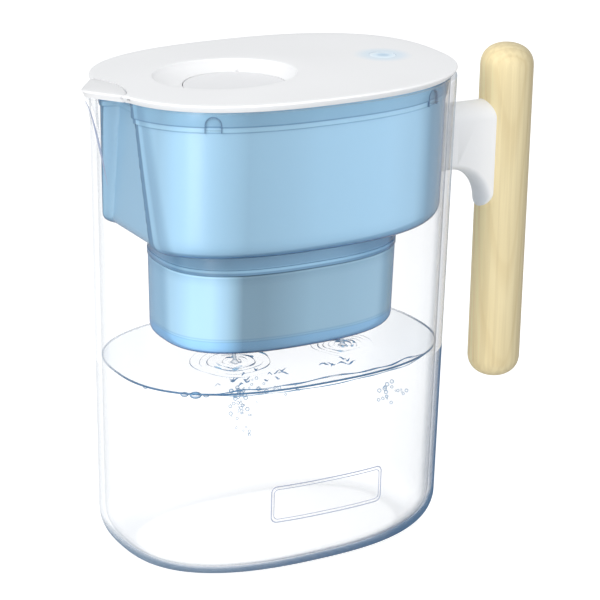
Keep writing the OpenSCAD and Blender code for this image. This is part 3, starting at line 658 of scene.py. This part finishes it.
# painted shade: the raised clear lines of the plate and the beak's fold are coloured dark blue-grey for the shade
# they show in the clear wall
LINE = plastic("clear_plastic_line", (0.40, 0.45, 0.60), 0.3, 0.9)
LINE.set(Alpha=0.8)
plate = join("bare_plate_frame", [plate_line("plate_a", -34, 33.6, 34.5, 55, 3.2, 0.30),
                                  plate_line("plate_b", -32.6, 32.2, 36.2, 53.3, 2.4, 0.20)])
paint(plate, LINE, "jug")


def beak_fold():
    """The fold of the pouring beak, a dark line of painted shade inside the clear wall, thickest half way."""
    rings = []
    for u in np.linspace(0, 1, 29):
        wall = jug_ring(mix(258.6, 212.5, u), 1.0)
        x, _, z = wall[np.argmin(wall[:, 0])]
        rings.append(circle(x, 0, 0.16 + 0.42 * math.sin(math.pi * u) ** 1.5, z, 10))
    return loft("beak_fold", rings)


paint(beak_fold(), LINE, "jug")


# ---- handle ----
def grip_mesh():
    """Round bar with full domes, and the two bores that take the inserts."""
    dome = [(GRIP_R * math.cos(a) ** (2 / 2.3), DOME * math.sin(a) ** (2 / 2.3))
            for a in np.linspace(0, math.pi / 2, 14)[:-1]] + [(0.4, DOME)]
    low = GRIP_TOP - GRIP_L
    profile = [(r, low + DOME - h) for r, h in reversed(dome)] + [(r, GRIP_TOP - DOME + h) for r, h in dome]
    o = lathe("wooden_grip", profile, GRIP_X, 0, 128)
    return boolean(o, [rod("hole", (SEAT_X - 1, 0, z), (SEAT_X + 14, 0, z), 3.15) for z in SCREW_ZS])


grip = grip_mesh()
paint(grip, WOOD, "jug")
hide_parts("handle_grip")


def bracket_ring(x, inset):
    """Tongue seen along X, round at the top and at its lower end."""
    low, t = ARCH_Z - TONGUE + BRACKET_R, np.linspace(0, math.pi, 48)
    r = BRACKET_R - inset
    y = np.concatenate([r * np.cos(t), -r * np.cos(t)])
    z = np.concatenate([BRACKET_TOP - BRACKET_R + r * np.sin(t), low - r * np.sin(t)])
    return ring(np.full(len(y), x), y, z)


def bracket_mesh():
    """Round bar from the jug's rail to the grip, with a tongue lying down the grip."""
    o = loft("white_bracket", [bracket_ring(BRACKET_X + x, inset) for x, inset in (
        (0, 0.9), (0.1, 0.5), (0.35, 0.18), (0.9, 0), (12, 0), (24, 0), (SEAT_X + 3.5 - BRACKET_X, 0))])
    t = np.linspace(-math.pi / 2, math.pi / 2, 41)
    side = [(ARCH_R + ARCH_FLARE * (1 - math.cos(k)), BRACKET_R * math.sin(k)) for k in t]
    rim = side[0][0]
    room = lathe("arch_room", [(0.02, -12), (rim, -12)] + side + [(rim, 12), (0.02, 12)], 0, 0, 256)
    place(room, Matrix.Translation(mm(ARCH_X, 0, ARCH_Z)) @ Matrix.Rotation(math.radians(90), 4, "X"))
    cut = [room, rod("a", (GRIP_X, 0, 60), (GRIP_X, 0, GRIP_TOP), GRIP_R + 0.05, 128),
           box_mesh("b", (WALL_X - 1, -4.95, 170), (WALL_X + 3, 4.95, RAIL_TOP + 0.15), 0),
           box_mesh("c", (WALL_X + 2.85, -7.65, 170), (WALL_X + 6.15, 7.65, RAIL_TOP + 0.15), 0)]
    cut += [rod("d", (WALL_X, 0, z), (WALL_X + reach, 0, z), r, n) for z in SCREW_ZS
            for reach, r, n in ((9.8, 3.8, 48), (45, 2.05, 32))]
    return boolean(o, cut)


bracket = bracket_mesh()
paint(bracket, WHITE, "jug")
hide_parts("handle_bracket")


# ---- reservoir ----
def tank_mesh():
    body = [cart_ring(COLLAR_Z, -0.35), cart_ring(COLLAR_Z + 2.8, -0.35), cart_ring(COLLAR_Z + 3, 0)]
    body += [cart_ring(TANK_Z - 0.6, 0), cart_ring(TANK_Z, -0.6)]
    body += [tank_ring(TANK_Z + h, TANK_IN + i) for i, h in quarter(TANK_R, 14)]
    body += [tank_ring(z, TANK_IN) for z in np.linspace(TANK_Z + TANK_R, FOOT_Z, 12)[1:]]
    mid = mix(TANK_IN, BAND_IN, 0.6)
    body += [tank_ring(FOOT_Z + 0.15, mid + 0.05), tank_ring(FOOT_Z + STEP, mid), tank_ring(BAND_Z, mid),
             tank_ring(BAND_Z + 0.15, BAND_IN + 0.1), tank_ring(BAND_Z + STEP, BAND_IN),
             tank_ring(LID_Z - 0.3, BAND_IN), tank_ring(LID_Z, BAND_IN + 0.3), tank_ring(LID_Z, RIM_IN - 0.3),
             tank_ring(LID_Z - 0.3, RIM_IN)]
    body += [tank_ring(z, RIM_IN) for z in np.linspace(LID_Z - 2, TANK_Z + 10.6, 10)]
    body += [tank_ring(TANK_Z + 2.6 + h, RIM_IN + i) for i, h in reversed(quarter(TANK_R - 1, 8)[:-1])]
    body += [cart_ring(TANK_Z + 2.6, CART_WALL - 0.4), cart_ring(TANK_Z + 2.2, CART_WALL),
             cart_ring(COLLAR_Z, CART_WALL)]
    o = loft("blue_reservoir", body, wrap=True, sharp=28)
    return boolean(o, [at_lugs("notch", NOTCH_W, -5.35, 0, FOOT_Z - 1, FOOT_Z + NOTCH_H)])


tank = tank_mesh()
paint(tank, BLUE, "reservoir")
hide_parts("reservoir_tank")
# painted shade: a dark bead round each notch's cut edge stands for the shade of the cut
NOTCH_SHADE_MAT = plastic("notch_painted_shade", (0.10, 0.20, 0.33), 0.3, 0.9)
notch_shade_rims = boolean(at_lugs("notch_edges", NOTCH_W + 0.8, -5.6, -3.75, FOOT_Z, FOOT_Z + NOTCH_H + 0.4),
               [at_lugs("notch_room", NOTCH_W - 0.1, -6.5, 0, FOOT_Z - 1, FOOT_Z + NOTCH_H - 0.05)])
paint(notch_shade_rims, NOTCH_SHADE_MAT, "reservoir")


# ---- cartridge ----
def cartridge_mesh():
    top = COLLAR_Z - 0.3
    rings = [cart_ring(CART_Z + h, i) for i, h in quarter(5, 10)]
    rings += [cart_ring(z, 0) for z in np.linspace(CART_Z + 5, top - 0.4, 6)[1:]]
    rings += [cart_ring(top, 0.4), cart_ring(top, NECK_IN), cart_ring(173.95, NECK_IN), cart_ring(173.95, 3.4),
              cart_ring(177.05, 3.4), cart_ring(177.05, NECK_IN), cart_ring(CAP_Z, NECK_IN),
              cart_ring(CAP_Z, NECK_IN + 2), cart_ring(top - 4, NECK_IN + 2), cart_ring(top - 7, CART_WALL),
              cart_ring(CART_Z + 5, CART_WALL), cart_ring(CART_Z + 3, CART_WALL + 2.5)]
    o = loft("blue_cartridge", rings, sharp=28)
    holes = [rod("h", (x, y, CART_Z - 3), (x, y, CART_Z + 6), 2.2, 32) for x in (-33, 33) for y in (-15, 15)]
    return boolean(o, holes)


cartridge = cartridge_mesh()
paint(cartridge, CART, "cartridge")
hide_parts("cartridge_housing")


# ---- lid ----
def lid_mesh():
    rings = [dish_ring(0, SEAT_Z), dish_ring(0, FLAP_Z - 0.12), dish_ring(0.003, FLAP_Z)]
    for u in np.linspace(0.06, 1, 14):
        rings.append(dish_ring(1 - (1 - u) ** 1.25, mix(FLAP_Z, LID_TOP - 0.8, u ** 1.5)))
    for a in np.linspace(0.25, math.pi / 2, 5):
        rings.append(dish_ring(1, LID_TOP - 0.8 + 0.8 * math.sin(a), 0.9 * (1 - math.cos(a))))
    rim_out, edge = rings[-1], lid_ring(LID_TOP, 1.0)
    rings += [mix(rim_out, edge, s) for s in np.linspace(0, 1, 10)[1:]]
    rings += [lid_ring(LID_TOP - 1 + math.cos(a), 1 - math.sin(a)) for a in np.linspace(0, math.pi / 2, 7)[1:]]
    rings += [lid_ring(LID_Z + 1.6, 1.2), lid_ring(LID_Z + 0.35, 2.2), lid_ring(LID_Z, 2.6)]
    skirt = tank_ring(SKIRT_Z, SKIRT_IN + SKIRT_T, SKIRT_WIDE)
    rings += [at_height(skirt, LID_Z), at_height(skirt, SKIN_Z)]
    rings += [dish_ring(1, SKIN_Z, DISH_WALL), dish_ring(0.1, FLAP_Z - 1.5, DISH_WALL),
              dish_ring(0, SEAT_Z, DISH_WALL)]
    o = loft("white_lid", rings, wrap=True, sharp=30)
    t = np.linspace(-math.pi / 2, math.pi / 2, 65)
    room = np.column_stack([SEAM_X + SEAM_A * np.cos(t), SEAM_B * np.sin(t)])
    room = np.vstack([room, [[SEAM_X - BEAK_W, SEAM_B], [SEAM_X - BEAK_W, -SEAM_B]]])
    seam = loft("seam", [at_height(room, z) for z in (LID_Z - 1, LID_TOP + 1)])
    hole = lathe("hole", [(BUTTON_R + 0.1, SKIN_Z - 1), (BUTTON_R + 0.1, LID_TOP + 1)], BUTTON_X, 0)
    ledge = lathe("ledge", [(BUTTON_R + 1.3, SKIN_Z - 1), (BUTTON_R + 1.3, SKIN_Z + 0.8)], BUTTON_X, 0)
    y, y2 = COVER_PIN_Y + 3.2, PIVOT_Y + 3.4
    return boolean(o, [seam, hole, ledge, cross_rod("pin", COVER_PIN_X, COVER_PIN_Z, -y, y, 0.82),
                       cross_rod("pin", PIVOT_X, PIVOT_Z, -y2, y2, 1.02)])


lid = lid_mesh()
paint(lid, LID, "lid")
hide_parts("lid_shell")


def half_ring(name, r0, r1, z0, z1, x, limit):
    """Ring sector left of x + limit."""
    a0 = math.acos(max(-1, min(1, limit / r1)))
    t = np.linspace(a0, 2 * math.pi - a0, 72)
    corners = ((r0, z0), (r1, z0), (r1, z1), (r0 + 0.3, z1), (r0, z1 - 0.3))
    return loft(name, [np.array([[x + r * math.cos(a), r * math.sin(a), z] for r, z in corners]) for a in t])


def lid_inner():
    """Under the lid: the flap's stop, the cup round the reminder, ribs, and bosses for the flap's pivots."""
    parts = [half_ring("stop", 26.4, 29.5, SEAT_Z, 255.3, FLAP_X, -4.0)]
    cup = ((16.2, 259.8), (17.8, 259.8), (17.8, 262.7), (16.2, 262.7))
    parts.append(loft("cup", [circle(BUTTON_X, 0, r, z, 72) for r, z in cup], wrap=True))
    for y in (-14, 14):
        parts.append(box_mesh("rib", (6.0, y - 0.7, 260.0), (56.6, y + 0.7, 262.61), 0.2))
    for y in (-PIVOT_Y - 4.8, PIVOT_Y + 0.8):
        boss = cross_rod("boss", PIVOT_X, PIVOT_Z, y, y + 4, 2.65, 36, 0.2)
        parts.append(boolean(boss, [cross_rod("bore", PIVOT_X, PIVOT_Z, y - 1, y + 5, 1.02)]))
    return join("lid_ribs_and_stop", parts)


paint(lid_inner(), LID, "lid")


def flap_mesh():
    """Disc with a rounded upper edge, and its two stub pivots."""
    low, edge = FLAP_Z - FLAP_T, 0.7
    prof = [(0.5, low), (FLAP_R - 0.5, low), (FLAP_R - 0.1, low + 0.2), (FLAP_R, low + 0.6),
            (FLAP_R, FLAP_Z - edge)]
    prof += [(FLAP_R - edge + edge * math.cos(a), FLAP_Z - edge + edge * math.sin(a))
             for a in np.linspace(0.3, 1.5708, 5)]
    prof += [(FLAP_R * k, FLAP_Z) for k in (0.9, 0.7, 0.45, 0.2, 0.02)]
    pins = [cross_rod("pin", PIVOT_X, PIVOT_Z, y, y + 4, PIVOT_R, 24, 0.15) for y in (PIVOT_Y - 1, -PIVOT_Y - 3)]
    return join("round_refill_flap", [lathe("disc", prof, FLAP_X, 0, 160)] + pins)


flap = flap_mesh()
FLAP = plastic("flap_plastic_satin", (0.80, 0.80, 0.81), 0.42)
paint(flap, FLAP, "flap")
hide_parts("refill_flap")


def beak_x(y):
    """The lid's outer edge at the beak."""
    return -A_TOP * (1 - (np.abs(y) / B_TOP) ** PLAN_N) ** (1 / PLAN_N) - BEAK_OUT * beak_bump(y, BEAK_W)


def cover_outline(shrink):
    """Round at the seam in the lid, and along the beak in front."""
    w = SEAM_B - SEAM_GAP - shrink - 0.6
    y = -w * np.cos(np.linspace(0, math.pi, 41))
    back = SEAM_X + (SEAM_A - SEAM_GAP - shrink) * np.sqrt(np.maximum(0, 1 - (y / (w + 0.6)) ** 2))
    front = beak_x(y) + shrink
    return np.column_stack([np.concatenate([back, front[::-1]]), np.concatenate([y, y[::-1]])])


def cover_mesh():
    """Plate with a rounded top edge, a lip behind the beak's rim, and two stub pins."""
    plate_part = loft("plate", [at_height(cover_outline(shrink), z) for shrink, z in (
        (1.1, 262.6), (0.95, 262.8), (0, 264.0), (0.12, 264.38), (0.4, 264.72), (0.75, 264.92), (1.2, 265.0))],
        sharp=40)
    y = np.linspace(-1, 1, 41) * (SEAM_B - SEAM_GAP - 1.3)
    lip = [np.array([[x + 2.2, v, 261.0], [x + 0.95, v, 262.9], [x + 3.2, v, 262.9], [x + 3.4, v, 261.0]])
           for x, v in zip(beak_x(y), y)]
    pins = [cross_rod("pin", COVER_PIN_X, COVER_PIN_Z, y, y + 4.8, COVER_PIN_R, 20, 0.1)
            for y in (-COVER_PIN_Y - 2.8, COVER_PIN_Y - 2)]
    return join("spout_flap_cover", [plate_part, loft("lip", lip)] + pins)


COVER = plastic("cover_plastic_satin", (0.80, 0.80, 0.805), 0.42)
cover = cover_mesh()
paint(cover, COVER, "spout_flap")
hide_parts("spout_cover")


# ---- reminder button ----
def button_material():
    """Milky lens, bluer at its middle over the LED."""
    m = Mat("led_lens_glow")
    r = m.span(m.distance(BUTTON_X * 0.001, -0.0005, LID_TOP * 0.001), 0, 0.0075)
    col = m.ramp(r, [(0.0, (0.40, 0.56, 0.70)), (0.3, (0.46, 0.60, 0.73)), (0.6, (0.62, 0.74, 0.83)),
                     (1.0, (0.72, 0.80, 0.86))])
    m.set(Base_Color=col, Emission_Color=col, Emission_Strength=0.12, Roughness=0.3)
    m.bump(m.noise(900.0), 0.02, 0.0002)
    return m


def button_mesh():
    """Stem, flange under the lid and the round lens, turned about one axis."""
    low, top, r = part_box("indicator_button")[0].z * 1000, LID_TOP, BUTTON_R
    prof = [(0.3, low), (1.6, low), (1.6, top - 2.7), (r + 1, top - 2.7), (r + 1, top - 1.61), (r, top - 1.6),
            (r, top - 0.35), (r - 0.12, top - 0.1), (r - 0.4, top), (r * 0.6, top), (0.2, top)]
    return lathe("reminder_button", prof, BUTTON_X, 0, 72)


button = button_mesh()
paint(button, button_material(), "button")
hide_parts("indicator_button")


# ---- the lid's collar ----
def collar_mesh():
    """Ring that centres the lid in the reservoir, its lower edge chamfered."""
    out, inn = tank_ring(SKIRT_Z, SKIRT_IN, SKIRT_WIDE), tank_ring(SKIRT_Z, SKIRT_IN + SKIRT_T, SKIRT_WIDE)
    rings = [at_height(mix(out, inn, share), z) for share, z in (
        (0, LID_Z), (0, SKIRT_Z + 0.4), (0.25, SKIRT_Z), (0.75, SKIRT_Z), (1, SKIRT_Z + 0.4), (1, LID_Z))]
    return loft("lid_collar_ring", rings, wrap=True, sharp=30)


collar = collar_mesh()
paint(collar, LID, "lid")
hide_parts("lid_collar")


# ---- stage: water, floor, lights, camera ----
def stage_object(o, mat):
    paint(o, mat)


def ripple(x, y):
    z = np.zeros_like(x)
    for cx, cy in DROPS:
        d = np.hypot(x - cx, y - cy)
        z += 0.9 * np.cos(d * 2 * math.pi / 4.6) * np.exp(-d / 6.0) * (1 - np.exp(-d / 1.5))
    return z


def water_top():
    edge = jug_ring(WATER_Z, JUG_WALL + 0.1)
    rings = []
    for k in np.append(np.linspace(0.004, 0.995, 110), 1.0):
        r = edge * (k, k, 1)
        r[:, 2] = WATER_Z + ripple(r[:, 0], r[:, 1])
        if k > 0.98:
            r[:, 2] += (k - 0.98) / 0.02 * 0.9
        rings.append(r)
    return loft("water_top", rings, ends=(True, False), sharp=80)


def water_material(name, colours, alphas):
    """Water whose colour and alpha go by how far it turns from the eye."""
    m = Mat(name)
    w = m.facing()
    m.set(Base_Color=m.ramp(w, colours), Alpha=m.ramp(w, alphas), Roughness=0.05)
    return m


WATER = water_material("water_top", [(0.0, (0.85, 0.9, 0.95)), (1.0, (0.6, 0.72, 0.85))],
                       [(0.0, 0.1), (0.7, 0.25), (1.0, 0.6)])
stage_object(water_top(), WATER)


def waterline_shade_material():
    """The water's edge at the wall as a dark line of painted shade, stronger in front."""
    m = Mat("water_edge")
    m.set(Alpha=m.ramp(m.span(m.axes()["Y"], 0.02, -0.03), [(0.0, 0.2), (1.0, 0.95)]),
          Base_Color=(0.07, 0.17, 0.31, 1), Roughness=0.1)
    return m


def tube(name, path, radii, n=6, closed=False):
    """Thin tube through points, each with its own radius."""
    path = [np.array(p, float) for p in path]
    m = len(path)
    rings = []
    for i in range(m):
        a, b = (path[i - 1], path[(i + 1) % m]) if closed else (path[max(0, i - 1)], path[min(m - 1, i + 1)])
        t = (b - a) / (np.linalg.norm(b - a) + 1e-9)
        side = np.cross(t, [0, 0, 1.0])
        side = side / (np.linalg.norm(side) + 1e-9)
        top_way = np.cross(side, t)
        rings.append(np.array([path[i] + side * (radii[i] * math.cos(w)) + top_way * (radii[i] * math.sin(w))
                               for w in 2 * math.pi * np.arange(n) / n]))
    return loft(name, rings, wrap=closed, sharp=80)


def stage_line(o, colour, alpha):
    """Stages a line on the water, patchy along its length."""
    m = Mat(o.name)
    m.set(Alpha=m.ramp(m.noise(90.0), [(0.38, alpha * 0.35), (0.58, alpha)]), Base_Color=(*colour, 1),
          Roughness=0.1)
    stage_object(o, m)


def at_edge(deg, inset):
    """Point at the water's height, inset from the jug's inner wall."""
    x, y = oval(np.array([math.radians(deg)]), half_a(WATER_Z) - JUG_WALL - inset,
                half_b(WATER_Z) - JUG_WALL - inset, PLAN_N)
    return x[0], y[0]


water_line = tube("water_line", jug_ring(WATER_Z + 0.6, JUG_WALL + 0.5), [0.55] * N, 8, closed=True)
stage_object(water_line, waterline_shade_material())

# a second, wavy line of painted shade where the swell climbs the front wall, and a paler one below it
swell, SWELL_N = [], 150
for k in range(SWELL_N):
    u = k / (SWELL_N - 1)
    x, y = at_edge(mix(228, 318, u), 0.5)
    rise = (2.4 + 0.5 * math.sin(u * 17) + 0.3 * math.sin(u * 41 + 1)) * smooth(min(u, 1 - u) * 4)
    swell.append(((x, y, WATER_Z + 0.6 + rise), (x, y, WATER_Z + 0.3 - 0.45 * rise)))
thick = [0.12 + 0.30 * float(smooth(min(k, SWELL_N - 1 - k) / 30)) * (0.8 + 0.35 * math.sin(k * 0.37))
         for k in range(SWELL_N)]
stage_line(tube("water_swell", [q[0] for q in swell], thick), (0.07, 0.20, 0.38), 0.9)
stage_line(tube("water_swell_low", [q[1] for q in swell], [k * 0.7 for k in thick]), (0.16, 0.36, 0.58), 0.8)

# ripples round each drop: fine dark rings of painted shade, broken here and there, and short pale arcs as painted
# glints
rng = random.Random(11)
ripples, pale = [], []
for (cx, cy), size in zip(DROPS, (1.0, 0.72)):
    for base_r, wire in ((3.2, 0.42), (6.6, 0.34), (10.4, 0.42), (14.2, 0.26), (18.6, 0.34), (23.5, 0.2)):
        start, turn = rng.uniform(0, 6.28), rng.uniform(3.6, 5.9)
        pts, radii = [], []
        for u in np.linspace(0, 1, 64):
            w = start + turn * u
            r = base_r * size * (1 + 0.025 * math.sin(2 * w + base_r) + 0.008 * math.sin(5 * w))
            pts.append((cx + r * math.cos(w) * 1.06, cy + r * math.sin(w), WATER_Z + 0.5 + 0.25 * math.sin(w * 4)))
            radii.append(wire * (0.15 + 0.85 * math.sin(math.pi * u)) * (0.75 + 0.4 * math.sin(5 * w)))
        ripples.append(tube("r", pts, radii))
    for _ in range(10):
        w, r0 = rng.uniform(0, 6.28), rng.uniform(3, 19) * size
        pts = [(cx + r0 * math.cos(w + q) * 1.05, cy + r0 * math.sin(w + q), WATER_Z + 0.6)
               for q in np.linspace(0, rng.uniform(0.2, 0.7), 10)]
        pale.append(tube("p", pts, [0.5 * math.sin(math.pi * (i + 0.5) / 10) for i in range(10)]))
stage_line(join("water_ripples", ripples), (0.10, 0.24, 0.42), 0.75)
stage_line(join("water_glints", pale), (0.25, 0.62, 0.92), 0.7)


def shell_material():
    """Dark rim where the thick wall bends the light: at the outline, and wider round the foot."""
    m = Mat("water_shell")
    s = m.axes()
    a = m.ramp(m.math("ADD", m.facing(), m.span(s["Z"], 0.012, 0.026, 0.30, 0.0)),
               [(0.0, 0.0), (0.50, 0.0), (0.66, 0.12), (0.76, 0.6), (0.86, 0.93), (1.0, 0.97)])
    # painted light: the rim's alpha drops toward the left, the side toward the key light, and its colour darkens
    # toward the right
    side = m.math("MAXIMUM", m.span(s["X"], -0.08, 0.05, 0.14, 1.0), m.span(s["Z"], 0.010, 0.022, 0.97, 0.0))
    near = m.span(m.node("ShaderNodeNewGeometry").outputs["Backfacing"], 0.0, 1.0, 1.0, 0.0)
    pale = m.ramp(m.noise(40.0, stretch=(1.0, 1.0, 0.3)), [(0.35, (0.85, 0.88, 0.92)), (0.65, 1.0)])
    deep = m.ramp(m.span(s["X"], -0.09, 0.03), [(0.0, (0.24, 0.33, 0.44)), (1.0, (0.11, 0.20, 0.33))], "LINEAR")
    m.set(Alpha=m.math("MULTIPLY", m.math("MULTIPLY", a, side), near), Base_Color=m.times(pale, deep),
          Roughness=0.25, Specular_IOR_Level=0.0)
    return m


shell_rings = [jug_ring(h + 0.02, i - 0.06) for i, h in quarter(BASE_R, 16)]
shell_rings += [jug_ring(z, -0.06) for z in np.linspace(BASE_R, WATER_Z, 12)[1:]]
stage_object(loft("water_shell", shell_rings, ends=(False, False)), shell_material())

JET = water_material("water_jet", [(0.0, (0.8, 0.88, 0.95)), (0.6, (0.3, 0.45, 0.6)), (1.0, (0.06, 0.12, 0.22))],
                     [(0.0, 0.25), (0.5, 0.6), (1.0, 0.95)])
for (cx, cy), sx in zip(DROPS, (-33.0, 33.0)):
    rings = []
    for u in np.linspace(0, 1, 17):
        r = mix(1.7, 1.0, smooth(u * 1.6)) + 1.6 * max(0, (u - 0.85) / 0.15) ** 2
        x, y = mix(sx, cx, u ** 0.7), mix(-15.0, cy, u ** 0.7)
        rings.append(circle(x, y, r, mix(CART_Z + 0.2, WATER_Z, u), 20))
    stage_object(loft("water_jet", rings, ends=(False, False), sharp=80), JET)

BUBBLE = water_material("water_bubble",
                        [(0.0, (0.8, 0.9, 1.0)), (0.4, (0.2, 0.42, 0.66)), (1.0, (0.02, 0.08, 0.18))],
                        [(0.0, 0.08), (0.25, 0.2), (0.5, 0.9), (1.0, 1.0)])
rng = random.Random(7)
parts = []


def bubble(x, y, z, r, squash=1.0):
    parts.append(lathe("b", [(max(0.02, r * math.cos(a)), z + squash * r * math.sin(a))
                             for a in np.linspace(-1.54, 1.54, 12)], x, y, 20, 80))


for cx, cy, count, top, deep, wide in ((-29.5, -20.0, 46, 13.0, 29.0, 7.5), (62.0, -24.0, 20, 26.0, 9.0, 9.0),
                                       (-26.0, -46.0, 14, 1.5, 4.0, 16.0)):
    for _ in range(count):
        share = rng.random() ** 1.3
        depth = top + deep * share
        x = cx + rng.gauss(0, wide * (0.55 - 0.25 * share)) + 2.0 * share
        y = cy + rng.gauss(0, wide * 0.4)
        bubble(x, y, WATER_Z - depth, rng.uniform(0.5, 1.35) * (1 - 0.3 * share))
for deg, r in ((219.5, 2.2), (224.5, 3.2), (229.0, 1.6), (199.0, 1.3), (243.0, 1.1), (262.0, 1.0)):
    bubble(*at_edge(deg, 1.2), WATER_Z - 0.2, r, 0.5)
stage_object(join("water_bubbles", parts), BUBBLE)

# ragged dark blue patches of painted shade where the streams go in
splash = []
for cx, cy, count, wide in ((-30.0, -34.0, 16, 11.0), (24.0, -38.0, 8, 9.0)):
    for _ in range(count):
        x, y = cx + rng.gauss(0, wide), cy + rng.gauss(0, 3.5)
        z = WATER_Z - rng.uniform(0.3, 3.0)
        w, length = rng.uniform(-0.5, 0.5), rng.uniform(2.0, 6.5)
        pts = [(x + length * (q - 0.5) * math.cos(w), y + length * (q - 0.5) * math.sin(w),
                z + 0.7 * math.sin(q * 5 + x)) for q in np.linspace(0, 1, 12)]
        splash.append(tube("s", pts, [0.55 * math.sin(math.pi * (i + 0.5) / 12) * rng.uniform(0.5, 1)
                                      for i in range(12)]))
stage_line(join("water_splash", splash), (0.06, 0.22, 0.45), 0.85)

# floor: shown brighter to the camera than it lights the part
bpy.ops.mesh.primitive_plane_add(size=8, location=(0, 0, -0.0004))
floor = bpy.context.object
FLOOR_MAT = Mat("studio_floor")
seen = FLOOR_MAT.node("ShaderNodeLightPath").outputs["Is Camera Ray"]
FLOOR_MAT.set(Base_Color=FLOOR_MAT.ramp(FLOOR_MAT.noise(3.0), [(0.3, 0.54), (0.7, 0.56)]), Roughness=0.9,
              Emission_Color=(1, 1, 1, 1), Emission_Strength=FLOOR_MAT.span(seen, 0, 1, 0.12, 0.72))
stage_object(floor, FLOOR_MAT)


def area(name, place_at, aim, size, power, size_y=None):
    """Soft light that the camera doesn't see."""
    d = bpy.data.lights.new(name, "AREA")
    d.energy, d.size = power, size
    if size_y:
        d.shape, d.size_y = "RECTANGLE", size_y
    o = new_object(name, d)
    o.location = place_at
    o.rotation_euler = (Vector(aim) - Vector(place_at)).to_track_quat("-Z", "Y").to_euler()
    o.visible_camera = False


area("top", (-0.5, -0.2, 1.9), (0, 0, 0.22), 1.5, 5.0)
area("front", (0.1, -1.3, 0.6), (0, 0, 0.2), 0.9, 3.2)
area("key", (-1.25, -0.65, 0.95), (0, 0, 0.2), 0.9, 7.0)
area("front_left", (-0.41, -0.41, 0.26), (0, 0, 0.2), 0.13, 0.9, size_y=0.52)
area("front_right", (0.60, -0.45, 0.3), (0, 0, 0.2), 0.14, 0.15, size_y=0.6)

world = bpy.context.scene.world or bpy.data.worlds.new("studio")
bpy.context.scene.world = world
world.use_nodes = True
wt = world.node_tree
wt.nodes.clear()
path, mixer, out = [wt.nodes.new("ShaderNode" + kind) for kind in ("LightPath", "MixShader", "OutputWorld")]
wt.links.new(path.outputs["Is Camera Ray"], mixer.inputs[0])
# the light on the part first, then the white that the camera sees behind it
for slot, colour, strength in ((1, (0.97, 0.985, 1.0, 1), 0.72), (2, (1, 1, 1, 1), 1.05)):
    back = wt.nodes.new("ShaderNodeBackground")
    back.inputs["Color"].default_value, back.inputs["Strength"].default_value = colour, strength
    wt.links.new(back.outputs[0], mixer.inputs[slot])
wt.links.new(mixer.outputs[0], out.inputs["Surface"])

# camera, fitted to the photo: place, direction, roll, and focal length in pixels of its 600
CAM_PLACE, CAM_FORWARD = (-0.63446, -1.13457, 0.58648), (0.47088, 0.81890, -0.32813)
CAM_ROLL, FOCAL_PX, PHOTO_PX, SENSOR = math.radians(1.195), 2521.7, 600, 36.0
cam_data = bpy.data.cameras.new("camera")
cam = new_object("camera", cam_data)
forward = Vector(CAM_FORWARD).normalized()
right = forward.cross(Vector((0, 0, 1))).normalized()
up = right.cross(forward)
rolled_right = right * math.cos(CAM_ROLL) + up * math.sin(CAM_ROLL)
rolled_up = up * math.cos(CAM_ROLL) - right * math.sin(CAM_ROLL)
stand = Matrix((rolled_right, rolled_up, -forward)).transposed().to_4x4()
stand.translation = Vector(CAM_PLACE)
cam.matrix_world = stand
cam_data.sensor_width = SENSOR
cam_data.lens = FOCAL_PX / PHOTO_PX * SENSOR
cam_data.clip_end = 20
scene = bpy.context.scene
scene.camera = cam
scene.view_settings.view_transform = "Standard"
scene.view_settings.look = "None"
scene.cycles.transparent_max_bounces = 32
scene.cycles.use_denoising = True
